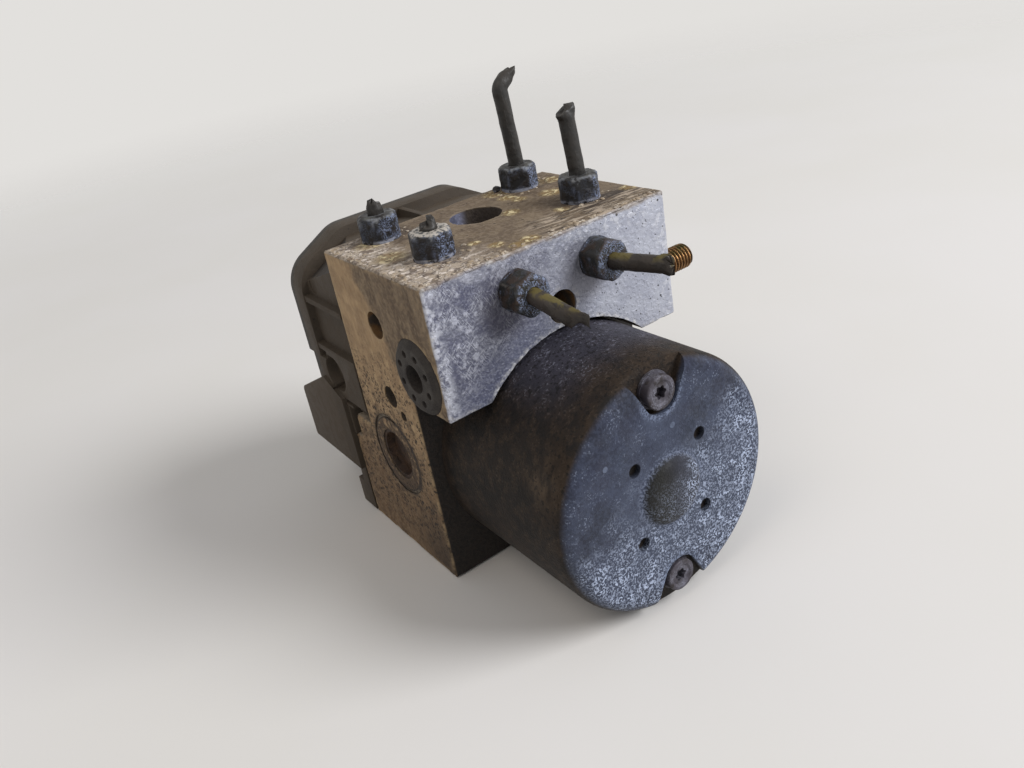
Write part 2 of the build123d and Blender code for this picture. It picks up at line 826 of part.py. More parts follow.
def solenoid_coil(x, z):
    back = coil_back()
    waist = coil_radius - coil_winding_depth
    inner = valve_dome_radius + seat_gap
    profile = [
        (inner, coil_front),
        (coil_radius, coil_front),
        (coil_radius, coil_front + coil_flange),
        (waist, coil_front + coil_flange),
        (waist, back - coil_flange),
        (coil_radius, back - coil_flange),
        (coil_radius, back),
        (inner, back),
    ]
    coil = turned("y", profile, (x, 0, z))
    half = coil_pin_width / 2
    for side in (-1, 1):
        pin_x = x + side * coil_pin_spacing
        pin_z = z + valve_dome_radius + coil_pin_lift
        pin_y = (back - 1, board_front())
        coil += box_between((pin_x - half, pin_x + half), pin_y, (pin_z - half, pin_z + half))
    return coil


def board_front():
    return rim_front_y + board_ledge_height


def centre_screw_axes():
    """The two long screws stand between the valve rows."""
    z = sum(valve_row_z.values()) / 2
    return [(side * valve_pitch_x, 0, z) for side in (-1, 1)]


def low_screw_axes():
    return [(side * low_screw_x, 0, low_screw_z) for side in (-1, 1)]


def controller_shell():
    """The solenoid chamber, solid: it widens from the joint to the back outline, with ribs on its flanks."""
    bottom = heel_step_height + free_gap
    right = rim_half_width - chamber_side_inset
    top = rim_top_z - 0.2
    corner = 4.0
    front_points = [
        (-right, bottom),
        (right, bottom),
        (right, top - corner),
        (right - corner, top),
        (corner - right, top),
        (-right, top - corner),
    ]
    front = make_face(Polyline(*[(x, joint_gap, z) for x, z in front_points], close=True))
    back = back_outline(chamber_side_inset, chamber_top_inset, bottom, rim_front_y)
    shell = loft([front, back], ruled=True)
    rib_x = rim_half_width - side_rib_inset
    flank_z = (low_rim_z, side_rib_z[0])
    for side in (-1, 1):
        reach = sorted((side * (right - 1), side * rib_x))
        for z in side_rib_z:
            rib_z = (z - rib_thickness / 2, z + rib_thickness / 2)
            shell += box_between(reach, (joint_gap, rim_front_y), rib_z)
        shell += box_between(reach, (joint_gap, low_rim_front_y), flank_z)
    rib_x = (-rib_thickness / 2, rib_thickness / 2)
    shell += box_between(rib_x, (joint_gap, rim_front_y), (90, rim_top_z - 0.6))
    return shell


def flank_pockets():
    """On each side, a D-shaped pocket with its round end forwards, and a slot beside the rim."""
    pockets = []
    radius = (side_rib_z[0] - low_rim_z) / 2 - rib_thickness
    middle_z = (low_rim_z + side_rib_z[0]) / 2
    round_y = flank_pocket_front_y + radius
    for side in (-1, 1):
        skin = side * (rim_half_width + 1)
        floor = side * (rim_half_width - side_rib_inset - flank_pocket_depth)
        pockets.append(rod("x", radius, floor, skin, (0, round_y, middle_z)))
        straight_z = (middle_z - radius, middle_z + radius)
        pockets.append(box_between(sorted((floor, skin)), (round_y, low_rim_front_y - 0.4), straight_z))
        slot_x = sorted((side * (rim_half_width - corner_slot["depth"]), skin))
        slot_y = (corner_slot["front_y"], corner_slot["back_y"])
        slot = box_between(slot_x, slot_y, (corner_slot["low_z"], corner_slot["high_z"]))
        pockets.append(fillet(slot.edges().filter_by(Axis.X), 2.2))
    return pockets


def controller_rim():
    """The rim round the board, deeper above and stepped below the solenoids."""
    low_back = lid_seat_y - low_rim_setback
    width = (-rim_half_width, rim_half_width)
    rim = back_prism(0, 0, low_rim_top_z, rim_front_y, lid_seat_y, rim_round)
    rim += box_between(width, (low_rim_front_y, low_back), (low_rim_z - chamber_wall, low_rim_top_z))
    low_wall_z = (low_rim_z - chamber_wall, low_wall_top_z)
    rim += box_between(width, (low_back, low_back + lid_thickness), low_wall_z)
    return rim


def board_room():
    """The space for the board, with a ledge for it to rest on."""
    ledge = chamber_wall + board_ledge_width
    low_back = lid_seat_y - low_rim_setback
    inner_round = rim_round - chamber_wall
    room_x = rim_half_width - chamber_wall
    room = back_prism(ledge, ledge, low_rim_z + board_ledge_width, rim_front_y, board_front())
    room += back_prism(chamber_wall, chamber_wall, low_rim_top_z, board_front(), lid_seat_y, inner_round)
    return room + box_between((-room_x, room_x), (board_front(), low_back), (low_rim_z, low_rim_top_z))


def connector_shroud():
    outline = [
        (heel_clear_y, connector_bottom_z),
        (connector_back_y, connector_bottom_z),
        (connector_back_y, connector_back_top_z),
        (connector_shoulder_y, connector_shoulder_z),
        (heel_clear_y, connector_front_top_z),
    ]
    shroud = side_prism(outline, connector_left_x, connector_right_x)
    back_edges = [
        edge
        for edge in shroud.edges().filter_by(Axis.X)
        if edge.center().Y > connector_back_y - 1 and edge.center().Z > connector_back_top_z - 1
    ]
    return fillet(back_edges, connector_round)


def connector_socket():
    socket = box_between(
        (connector_left_x + connector_wall, connector_right_x - connector_wall),
        (connector_back_y - connector_depth, connector_back_y + 1),
        (connector_bottom_z + connector_wall, connector_back_top_z - connector_wall),
    )
    return fillet(socket.edges().filter_by(Axis.Y), connector_socket_round)


def lower_body():
    """The wall that reaches down the block's heel to the foot, with a notch above the foot."""
    profile = [
        (heel_clear_y, foot_lift),
        (foot_back_y, foot_lift),
        (foot_back_y, foot_height),
        (foot_notch_y, foot_height),
        (foot_notch_y, connector_bottom_z),
        (lower_back_y, connector_bottom_z),
        (lower_back_y, low_rim_z),
        (heel_clear_y, low_rim_z),
    ]
    side = rim_half_width - side_rib_inset
    body = side_prism(profile, -side, side)
    pocket_width = (side - connector_right_x) / 2 - 1.5 * chamber_wall
    pocket_height = (low_rim_z - connector_bottom_z) / 2 - 1.5 * chamber_wall
    for column in range(2):
        x = connector_right_x + chamber_wall + column * (pocket_width + chamber_wall)
        for row in range(2):
            z = connector_bottom_z + chamber_wall / 2 + row * (pocket_height + chamber_wall)
            pocket_y = (heel_clear_y + chamber_wall, lower_back_y + 1)
            body -= box_between((x, x + pocket_width), pocket_y, (z, z + pocket_height))
    return body


def heel_filler():
    """The wall steps forward over the block's heel."""
    side = rim_half_width - side_rib_inset
    y = (heel_step_depth + free_gap, heel_clear_y + chamber_wall)
    z = (heel_height + free_gap, heel_step_height + free_gap + chamber_wall)
    return box_between((-side, side), y, z)


def heel_pocket():
    """The slot that is left open at the left side, behind the block's heel step."""
    x = (-rim_half_width - 1, heel_pocket_width - rim_half_width)
    front = heel_step_depth + free_gap
    roof = heel_step_height + free_gap + chamber_wall - heel_pocket_roof
    return box_between(x, (front, front + heel_pocket_depth), (heel_height, roof))


def controller_housing():
    shell = controller_shell() + controller_rim() + lower_body() + heel_filler() + connector_shroud()
    for pocket in flank_pockets():
        shell -= pocket
    shell -= back_prism(
        chamber_side_inset + chamber_wall,
        chamber_top_inset + chamber_wall,
        heel_step_height + free_gap + chamber_wall,
        joint_gap,
        rim_front_y - chamber_floor_wall,
    )
    shell -= board_room()
    shell -= connector_socket()
    for pin in connector_pins().solids():
        shell -= pin
    shell -= heel_pocket()
    floor_y = (rim_front_y - chamber_floor_wall, rim_front_y)
    for _, x, z in valve_places():
        pin_z = z + valve_dome_radius + coil_pin_lift
        window_x = (x - coil_pin_spacing - 1, x + coil_pin_spacing + 1)
        shell -= box_between(window_x, floor_y, (pin_z - 1.2, pin_z + 1.2))
    shell -= rod("y", lead_radius + free_gap, rim_front_y - chamber_floor_wall, board_front(), (0, 0, lead_z))
    for axis in centre_screw_axes():
        shell += rod("y", screw_boss_radius, joint_gap, lid_seat_y, axis)
        shell -= rod("y", screw_radius + free_gap, joint_gap, lid_seat_y, axis)
    for axis in low_screw_axes():
        shell -= rod("y", screw_radius + free_gap, heel_clear_y, foot_back_y, axis)
    return shell - seal_ring(seal_width + 2 * seat_gap)


def seal_ring(width):
    """A ring midway through the chamber's front wall, from the block's face back into its groove."""
    margin = (chamber_wall - width) / 2
    side = chamber_side_inset + margin
    top = chamber_top_inset + margin
    bottom = heel_step_height + free_gap + margin
    outer = back_prism(side, top, bottom, 0, seal_thickness)
    return outer - back_prism(side + width, top + width, bottom + width, 0, seal_thickness)


def controller_lid():
    """The lid over the board: a stepped plate with a chamfered back edge and three shallow panels."""
    low_seat = lid_seat_y - low_rim_setback
    back = lid_seat_y + lid_thickness
    lid = back_prism(0, 0, low_rim_top_z, lid_seat_y, back, rim_round)
    lid = chamfer(lid.faces().sort_by(Axis.Y)[-1].edges(), lid_chamfer)
    low_z = (low_wall_top_z + seat_gap, low_rim_top_z)
    lid += box_between((-rim_half_width, rim_half_width), (low_seat, low_seat + lid_thickness), low_z)
    step_x = rim_half_width - chamber_wall - free_gap
    step_z = (low_rim_top_z, low_rim_top_z + chamber_wall)
    lid += box_between((-step_x, step_x), (low_seat, lid_seat_y), step_z)
    for x in (-lid_panel_pitch, 0, lid_panel_pitch):
        panel_x = (x - lid_panel_width / 2, x + lid_panel_width / 2)
        lid -= box_between(panel_x, (back - lid_panel_depth, back + 1), lid_panel_z)
    for axis in centre_screw_axes():
        lid -= rod("y", screw_radius + free_gap, lid_seat_y, back, axis)
        lid -= rod("y", screw_head_radius + free_gap, lid_seat_y + screw_head_seat, back, axis)
    return lid


def controller_screws():
    screws = []
    places = [(axis, lid_seat_y + screw_head_seat, 0) for axis in centre_screw_axes()]
    places += [(axis, foot_back_y, heel_depth) for axis in low_screw_axes()]
    for axis, seat, joint in places:
        back = seat + screw_head_height
        screw = rod("y", screw_radius, joint - screw_thread_length, seat, axis)
        screw += rod("y", screw_head_radius, seat, back, axis)
        screws.append(screw - rod("y", screw_recess_radius, back - screw_recess_depth, back, axis))
    return Compound(children=screws)


def circuit_board():
    front = board_front()
    back = front + board_thickness
    edge = chamber_wall + board_edge_gap
    board = back_prism(edge, edge, low_rim_z + board_edge_gap, front, back, rim_round - edge)
    for x_low, x_high, z_low, z_high, height in board_components:
        board += box_between((x_low, x_high), (back, back + height), (z_low, z_high))
    for axis in centre_screw_axes():
        board -= rod("y", screw_boss_radius + free_gap, front, back, axis)
    return board


def connector_pins():
    """Two rows of contacts beside four wider power blades, rooted in the socket's floor."""
    floor = connector_back_y - connector_depth
    reach = (floor - contact_root, floor + contact_length)
    middle_z = (connector_bottom_z + connector_back_top_z) / 2
    socket_left = connector_left_x + connector_wall
    pins = []
    for row in (-0.5, 0.5):
        z = middle_z + row * contact_row_spacing
        half = contact_width / 2
        for column in range(contact_columns):
            x = socket_left + contact_start + column * contact_pitch
            pins.append(box_between((x - half, x + half), reach, (z - half, z + half)))
        for blade in range(2):
            x = socket_left + power_start + blade * power_pitch
            wide = power_contact_width / 2
            pins.append(box_between((x - wide, x + wide), reach, (z - half, z + half)))
    return Compound(children=pins)


def tube_nut(roll):
    """A tube nut on +Z: a chamfered hexagon on a thin collar, and the threaded shank that fills its port."""
    hexagon = extrude(RegularPolygon(nut_across_flats / 2, 6, major_radius=False), amount=nut_height)
    corner_radius = nut_across_flats / 2 / cos(pi / 6)
    blank = [
        (0, 0),
        (corner_radius, 0),
        (corner_radius, nut_height - nut_chamfer),
        (corner_radius - 2 * nut_chamfer, nut_height),
        (0, nut_height),
    ]
    nut = Rot(0, 0, roll) * (hexagon & turned("z", blank))
    nut += rod("z", nut_across_flats / 2 + 0.3, 0, nut_collar_height)
    nut += rod("z", port_radius - seat_gap, flare_length + seat_gap - port_depth, 0)
    return nut - rod("z", pipe_radius + seat_gap, -port_depth, nut_height)


def pipe_nuts():
    nuts = [Pos(x, y, block_height) * tube_nut(13 * turn) for turn, (_, x, y) in enumerate(top_ports())]
    for turn, side in enumerate((-1, 1)):
        face = Pos(side * front_port_x, -head_depth, front_port_z)
        nuts.append(face * towards_motor * tube_nut(20 * turn))
    return Compound(children=nuts)


def brake_pipe(name):
    """A pipe from its flare in the port to its cut and crushed end."""
    points = [pipe_point(name, (0, 0, seat_gap - port_depth))]
    points += [pipe_point(name, step) for step in routes[name]]
    path = FilletPolyline(*points, radius=pipe_bend_radius) if len(points) > 2 else Line(*points)
    crush = crushed_ends[name]
    start = Plane(origin=path @ 0, x_dir=(1, 0, 0), z_dir=path % 0)
    tip = Plane(origin=path @ 1, x_dir=(1, 0, 0), z_dir=path % 1) * Rot(0, 0, crush["roll"])
    inner_radius = pipe_radius - pipe_wall
    pipe = sweep(start * Circle(pipe_radius), path=path)
    pipe += start * Pos(0, 0, flare_length / 2) * Cylinder(flare_radius, flare_length)
    bore = sweep(start * Circle(inner_radius), path=path)
    end = tip * Pos(0, 0, crush["length"])
    mouth = (crush["half_width"] - pipe_wall, crush["half_thickness"] - pipe_wall * 0.6)
    pipe += loft([tip * Circle(pipe_radius), end * Ellipse(crush["half_width"], crush["half_thickness"])])
    bore += loft([tip * Circle(inner_radius), end * Ellipse(*mouth)])
    cutter = Pos(0, 0, cut_block / 4) * Box(cut_block, cut_block, cut_block / 2)
    return pipe - bore - end * Rot(0, crush["tilt"], 0) * cutter


def pipe_point(name, step):
    """A route step as a point: top pipes leave upwards, and the head's front pipes towards the motor."""
    dx, across, reach = step
    if name.startswith("motor"):
        side = -1 if name.endswith("left") else 1
        return (side * front_port_x + dx, -head_depth - reach, front_port_z + across)
    x, y = next((x, y) for port, x, y in top_ports() if port == name)
    return (x + dx, y + across, block_height + reach)


def save(name, shape):
    shape.label = name
    export_step(shape, f"parts/{name}.step")


save("valve_block", valve_block())
save("motor_can", motor_can())
save("motor_bolts", motor_bolts())
save("motor_magnets", motor_magnets())
save("brush_plate", brush_plate())
save("motor_brushes", motor_brushes())
save("motor_lead", motor_lead())
save("tail_bearing", tail_bearing())
save("drive_bearing", drive_bearing())
save("motor_shaft", motor_shaft())
save("eccentric_ring", eccentric_ring())
save("armature_core", armature_core())
save("armature_winding", armature_winding())
save("commutator", commutator())
for hand, side in (("left", -1), ("right", 1)):
    save(f"pump_sleeve_{hand}", pump_sleeve(side))
    save(f"pump_piston_{hand}", pump_piston(side))
    save(f"pump_spring_{hand}", pump_spring(side))
    save(f"pump_plug_{hand}", pump_plug(side))
    save(f"accumulator_piston_{hand}", accumulator_piston(side))
    save(f"accumulator_spring_{hand}", accumulator_spring(side))
    save(f"accumulator_cap_{hand}", accumulator_cap(side))
    save(f"isolator_{hand}", isolator(side))
save("mounting_stud", mounting_stud())
for name, x, z in valve_places():
    save(f"{name}_valve", valve_body(x, z))
    save(f"{name}_coil", solenoid_coil(x, z))
save("controller_housing", controller_housing())
save("controller_seal", seal_ring(seal_width))
save("controller_lid", controller_lid())
save("controller_screws", controller_screws())
save("circuit_board", circuit_board())
save("connector_pins", connector_pins())
save("pipe_nuts", pipe_nuts())
for name in routes:
    save(f"pipe_{name}", brake_pipe(name))
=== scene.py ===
import math
from random import Random

import bmesh
import bpy
from mathutils import Matrix, Vector, noise
from mathutils.kdtree import KDTree


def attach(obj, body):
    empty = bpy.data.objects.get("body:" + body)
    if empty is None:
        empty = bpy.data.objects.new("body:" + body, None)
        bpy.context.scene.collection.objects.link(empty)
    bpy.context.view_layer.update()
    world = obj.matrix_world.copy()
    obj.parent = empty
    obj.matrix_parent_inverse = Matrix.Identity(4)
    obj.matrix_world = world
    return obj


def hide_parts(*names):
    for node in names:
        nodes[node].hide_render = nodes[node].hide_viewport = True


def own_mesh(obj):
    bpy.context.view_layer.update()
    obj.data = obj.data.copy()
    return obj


# Looks of a used anti-lock brake module. Sizes are millimetres until a mesh is made.
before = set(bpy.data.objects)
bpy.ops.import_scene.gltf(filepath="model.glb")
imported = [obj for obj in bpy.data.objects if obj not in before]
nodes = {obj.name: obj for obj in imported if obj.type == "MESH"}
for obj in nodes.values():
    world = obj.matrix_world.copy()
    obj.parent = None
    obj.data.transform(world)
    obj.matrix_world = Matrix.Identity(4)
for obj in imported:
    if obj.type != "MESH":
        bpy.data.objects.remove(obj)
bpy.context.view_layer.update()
MM = 0.001


def reach_of(node, axis, end):
    """How far a CAD node reaches along an axis."""
    return round(end(corner[axis] for corner in nodes[node].bound_box) / MM, 3)


left_face_x = reach_of("valve_block", 0, min)
head_face_y = reach_of("valve_block", 1, min)
block_top = reach_of("valve_block", 2, max)
motor_axis_z = 37.0
motor_end_y = -91.8
motor_radius = 36.5
motor_wall = 2.0
bolt_reach = 28.8
notch_depth = 3.2
dimple_reach = 16.2
body_face_y = -36.5
pipe_radius = 2.375
flare_radius = 3.6
nut_height = 7.6
plug_centre = (-15.8, 37.0)
top_bore = (1.0, -18.8)
face_bore = (0.3, 80.6)
top_nuts = [(25.5, -8.2), (25.5, -38.2), (-25.5, -8.2), (-25.5, -38.2)]
face_nuts = [(-13.6, 90.6), (13.6, 90.6)]
isolator_centre = (-44.2, 73.1)
motor_centre = (0, 0, motor_axis_z)
bolt_centres = [(0, 0, motor_axis_z + side * bolt_reach) for side in (1, -1)]
dimple_angles = [math.radians(45 + 90 * quarter) for quarter in range(4)]
dimple_centres = [
    (dimple_reach * math.cos(angle), 0, motor_axis_z + dimple_reach * math.sin(angle))
    for angle in dimple_angles
]


# Modelling helpers -------------------------------------------

def deselect():
    bpy.ops.object.select_all(action="DESELECT")


def link(piece):
    bpy.context.scene.collection.objects.link(piece)


def pick(*pieces):
    deselect()
    for piece in pieces:
        piece.select_set(True)
    bpy.context.view_layer.objects.active = pieces[0]


def edit(piece):
    """Opens a piece for editing with all of it selected."""
    pick(piece)
    bpy.ops.object.mode_set(mode="EDIT")
    bpy.ops.mesh.select_all(action="SELECT")


def leave():
    bpy.ops.object.mode_set(mode="OBJECT")


def leave_outward():
    """Turns the selected faces outwards and ends the editing."""
    bpy.ops.mesh.normals_make_consistent(inside=False)
    leave()


def modify(piece, kind, **settings):
    """Adds a modifier and applies it."""
    pick(piece)
    modifier = piece.modifiers.new("work", kind)
    for name, value in settings.items():
        setattr(modifier, name, value)
    bpy.ops.object.modifier_apply(modifier="work")


def bevel_edges(piece, width, segments, angle):
    """Rounds the edges that are sharper than an angle."""
    sharp = math.radians(angle)
    modify(piece, "BEVEL", width=width * MM, segments=segments, limit_method="ANGLE", angle_limit=sharp)


def carve(piece, tool, operation="DIFFERENCE"):
    modify(piece, "BOOLEAN", object=tool, operation=operation, solver="EXACT")
    bpy.data.objects.remove(tool)


def new_piece(name, vertices, edges=(), faces=()):
    mesh = bpy.data.meshes.new(name)
    mesh.from_pydata([Vector(v) * MM for v in vertices], edges, faces)
    piece = bpy.data.objects.new(name, mesh)
    link(piece)
    return piece


def copy_of(node, name):
    """A copy of a CAD node as a welded mesh with its flat faces whole."""
    piece = bpy.data.objects.new(name, nodes[node].data.copy())
    link(piece)
    edit(piece)
    bpy.ops.mesh.remove_doubles(threshold=0.002 * MM)
    bpy.ops.mesh.dissolve_limited(angle_limit=math.radians(0.4))
    leave()
    return piece


def rod(name, axis, radius, start, end, at, sides=48):
    """A cylinder along an axis between two stations."""
    turn = {"x": (0, math.pi / 2, 0), "y": (math.pi / 2, 0, 0), "z": (0, 0, 0)}[axis]
    middle = Vector(at)
    middle["xyz".index(axis)] = (start + end) / 2
    deselect()
    bpy.ops.mesh.primitive_cylinder_add(
        vertices=sides, radius=radius * MM, depth=abs(end - start) * MM, location=middle * MM, rotation=turn
    )
    piece = bpy.context.active_object
    piece.name = name
    bpy.ops.object.transform_apply()
    return piece


def turned(name, profile, steps=128):
    """A turned piece about the motor's axis; its profile is (radius, y)."""
    points = [(radius, y, motor_axis_z) for radius, y in profile]
    piece = new_piece(name, points, [(n, n + 1) for n in range(len(points) - 1)])
    edit(piece)
    centre = (0, 0, motor_axis_z * MM)
    bpy.ops.mesh.spin(steps=steps, angle=math.tau, center=centre, axis=(0, 1, 0))
    bpy.ops.mesh.select_all(action="SELECT")
    bpy.ops.mesh.remove_doubles(threshold=0.002 * MM)
    leave_outward()
    return piece


def rolled(name, rows, columns, shape):
    """A grid rolled up into a tube: shape(along, angle) gives each point, with along from 0 to 1."""
    deselect()
    bpy.ops.mesh.primitive_grid_add(x_subdivisions=rows, y_subdivisions=columns, size=1)
    piece = bpy.context.active_object
    piece.name = name
    for vertex in piece.data.vertices:
        along = vertex.co.x + 0.5
        angle = (vertex.co.y + 0.5) * math.tau
        vertex.co = Vector(shape(along, angle)) * MM
    edit(piece)
    bpy.ops.mesh.remove_doubles(threshold=0.001 * MM)
    leave_outward()
    return piece


def cap_ends(piece):
    """Closes a tube's open end with a flat face."""
    edit(piece)
    bpy.ops.mesh.select_mode(type="VERT")
    bpy.ops.mesh.select_all(action="DESELECT")
    bpy.ops.mesh.select_non_manifold()
    bpy.ops.mesh.edge_face_add()
    bpy.ops.mesh.select_all(action="SELECT")
    leave_outward()
    return piece


def slice_finely(piece, spacing, edge_cuts=()):
    """Cuts the mesh along each axis, so that its flat faces have vertices; edge_cuts lie near the sides."""
    corners = [Vector(corner) / MM for corner in piece.bound_box]
    edit(piece)
    for axis in range(3):
        low = min(corner[axis] for corner in corners)
        high = max(corner[axis] for corner in corners)
        count = max(1, round((high - low) / spacing))
        stations = [low + (high - low) * n / count for n in range(1, count)]
        stations += [low + inset for inset in edge_cuts] + [high - inset for inset in edge_cuts]
        normal = [float(axis == n) for n in range(3)]
        for station in stations:
            bpy.ops.mesh.select_all(action="SELECT")
            place = [station * MM * part for part in normal]
            bpy.ops.mesh.bisect(plane_co=place, plane_no=normal)
    leave()


def sharp_corners(piece, angle=30):
    """A tree of the vertices on sharp edges, with their outward directions."""
    work = bmesh.new()
    work.from_mesh(piece.data)
    work.normal_update()
    found = []
    for vertex in work.verts:
        edges = [edge for edge in vertex.link_edges if len(edge.link_faces) == 2]
        if any(edge.calc_face_angle() > math.radians(angle) for edge in edges):
            found.append((vertex.co.copy(), vertex.normal.copy()))
    work.free()
    tree = KDTree(len(found))
    for index, (place, _) in enumerate(found):
        tree.insert(place, index)
    tree.balance()
    return tree, [normal for _, normal in found]


def wear_edges(piece, depth, size, reach, cover=0.0):
    """Chips the sharp edges and stores each vertex's nearness to one as worn_edge."""
    tree, normals = sharp_corners(piece)
    worn = piece.data.attributes.new("worn_edge", "FLOAT", "POINT")
    for index, vertex in enumerate(piece.data.vertices):
        _, nearest, distance = tree.find(vertex.co)
        near = max(0.0, 1 - distance / (reach * MM))
        worn.data[index].value = near
        if near > 0:
            place = vertex.co / (size * MM)
            chip = max(0.0, noise.noise(place) + 0.5 * noise.noise(place * 2.7) - cover)
            vertex.co -= normals[nearest] * near * near * chip * depth * MM


def weather(piece, depth, size, seed=0.0):
    """Moves vertices in and out along their normals, as corrosion does."""
    normals = [vertex.normal.copy() for vertex in piece.data.vertices]
    for vertex, normal in zip(piece.data.vertices, normals):
        place = vertex.co / (size * MM) + Vector((seed, seed * 0.7, -seed))
        swell = noise.noise(place) + 0.5 * noise.noise(place * 2.3)
        vertex.co += normal * swell * depth * MM


def smooth_by_angle(piece, degrees=35):
    pick(piece)
    bpy.ops.object.shade_smooth_by_angle(angle=math.radians(degrees))


def finish_piece(piece, material, replaced=(), smooth=35):
    """Shades, paints and seats a finished piece."""
    smooth_by_angle(piece, smooth)
    piece.data.materials.clear()
    piece.data.materials.append(material)
    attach(piece, "module")
    if replaced:
        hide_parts(*replaced)


def joined(name, pieces):
    pick(*pieces)
    bpy.ops.object.join()
    pieces[0].name = name
    return pieces[0]


# Material helpers --------------------------------------------

def colour(code):
    """A hex sRGB colour as linear RGBA."""
    parts = [int(code[n:n + 2], 16) / 255 for n in (1, 3, 5)]
    return [p / 12.92 if p <= 0.04045 else ((p + 0.055) / 1.055) ** 2.4 for p in parts] + [1.0]


def add_node(tree, kind, inputs=None, **settings):
    """Adds a node with its settings; an input is a value or another node's output."""
    node = tree.nodes.new(kind)
    for name, value in settings.items():
        setattr(node, name, value)
    for name, value in (inputs or {}).items():
        socket = node.inputs[name]
        if isinstance(value, bpy.types.NodeSocket):
            tree.links.new(value, socket)
        else:
            socket.default_value = value
    return node


def output_tree(*values):
    """The node tree of the first value that is a node's output."""
    return next(value.id_data for value in values if isinstance(value, bpy.types.NodeSocket))


def patches(place, size, low, high, detail=3.0, stretch=(1, 1, 1), turn=(0, 0, 0), shift=0.0):
    """Soft-edged noise patches about `size` mm across: 0 where the noise is low, 1 where it is high."""
    tree = place.id_data
    scale = [1 / (size * s) for s in stretch]
    moved = add_node(tree, "ShaderNodeMapping", {"Vector": place, "Rotation": turn, "Location": (shift,) * 3})
    scaled = add_node(tree, "ShaderNodeVectorMath", {0: moved.outputs[0], 1: scale}, operation="MULTIPLY")
    inputs = {"Vector": scaled.outputs[0], "Scale": 1.0, "Detail": detail}
    return span(add_node(tree, "ShaderNodeTexNoise", inputs).outputs[0], low, high)


def span(value, low, high):
    """0 at low and 1 at high, smooth between them."""
    inputs = {"Value": value, "From Min": low, "From Max": high}
    return add_node(value.id_data, "ShaderNodeMapRange", inputs, interpolation_type="SMOOTHSTEP").outputs[0]


def pores(place, spacing, radius, shift=0.0):
    """Round pits: 1 in each pit's middle; their sizes differ."""
    tree = place.id_data
    moved = add_node(tree, "ShaderNodeMapping", {"Vector": place, "Location": (shift,) * 3}).outputs[0]
    cells = add_node(tree, "ShaderNodeTexVoronoi", {"Vector": moved, "Scale": 1 / spacing})
    lot = add_node(tree, "ShaderNodeSeparateColor", {0: cells.outputs["Color"]}).outputs[0]
    reach = both(lot, radius / spacing)
    return span(chained("SUBTRACT", reach, cells.outputs["Distance"]), 0.0, 0.25 * radius / spacing)


def chained(operation, *values):
    """The values put together in order, each a number or an output."""
    result = values[0]
    for value in values[1:]:
        tree = output_tree(result, value)
        result = add_node(tree, "ShaderNodeMath", {0: result, 1: value}, operation=operation).outputs[0]
    return result


def both(*masks):
    return chained("MULTIPLY", *masks)


def either(*masks):
    return chained("MAXIMUM", *masks)


def total(*values):
    return chained("ADD", *values)


def layered(base, *layers):
    """Colours laid over a base colour, each (mask, colour) or (mask, colour, how much of it)."""
    result = colour(base) if isinstance(base, str) else base
    for mask, code, *share in layers:
        mask = both(mask, *share)
        over = colour(code) if isinstance(code, str) else code
        inputs = {0: mask, 6: result, 7: over}
        result = add_node(mask.id_data, "ShaderNodeMix", inputs, data_type="RGBA").outputs[2]
    return result


def levels(base, *layers):
    """Numbers laid over a base number, each (mask, number)."""
    result = base
    for mask, value in layers:
        result = add_node(mask.id_data, "ShaderNodeMix", {0: mask, 2: result, 3: value}).outputs[0]
    return result


def axes(place):
    return add_node(place.id_data, "ShaderNodeSeparateXYZ", {0: place}).outputs


def away_from(place, centre, ignore=None):
    """The distance in mm from a centre line along the ignored axis, or from a point."""
    tree = place.id_data
    keep = [0.0 if axis == ignore else 1.0 for axis in "xyz"]
    gap = add_node(tree, "ShaderNodeVectorMath", {0: place, 1: centre}, operation="SUBTRACT").outputs[0]
    flat = add_node(tree, "ShaderNodeVectorMath", {0: gap, 1: keep}, operation="MULTIPLY").outputs[0]
    return add_node(tree, "ShaderNodeVectorMath", {0: flat}, operation="LENGTH").outputs["Value"]


def facing(place, direction, low, high):
    """Where the surface faces a direction: 0 up to the low cosine, 1 from the high one."""
    outward = add_node(place.id_data, "ShaderNodeTexCoord").outputs["Normal"]
    inputs = {0: outward, 1: direction}
    cosine = add_node(place.id_data, "ShaderNodeVectorMath", inputs, operation="DOT_PRODUCT")
    return span(cosine.outputs["Value"], low, high)


def stored(place, name):
    """An attribute that the piece carries."""
    return add_node(place.id_data, "ShaderNodeAttribute", attribute_name=name).outputs["Fac"]


def new_material(name):
    """An empty material, and the place on the piece in mm."""
    material = bpy.data.materials.new(name)
    material.use_nodes = True
    tree = material.node_tree
    tree.nodes.clear()
    where = add_node(tree, "ShaderNodeTexCoord").outputs["Object"]
    scaled = add_node(tree, "ShaderNodeVectorMath", {0: where, "Scale": 1 / MM}, operation="SCALE")
    return material, scaled.outputs[0]


def close_material(material, base, roughness, metallic=0.0, bumps=(), **sockets):
    """Ends a material; each bump is (height, depth in mm)."""
    tree = material.node_tree
    inputs = {"Base Color": base, "Roughness": roughness, "Metallic": metallic}
    inputs.update({name.replace("_", " "): value for name, value in sockets.items()})
    for height, depth in bumps:
        bump = {"Height": height, "Distance": depth * MM, "Strength": 1.0}
        if "Normal" in inputs:
            bump["Normal"] = inputs["Normal"]
        inputs["Normal"] = add_node(tree, "ShaderNodeBump", bump).outputs[0]
    shader = add_node(tree, "ShaderNodeBsdfPrincipled", inputs)
    add_node(tree, "ShaderNodeOutputMaterial", {0: shader.outputs[0]})
    return material


# Materials ---------------------------------------------------

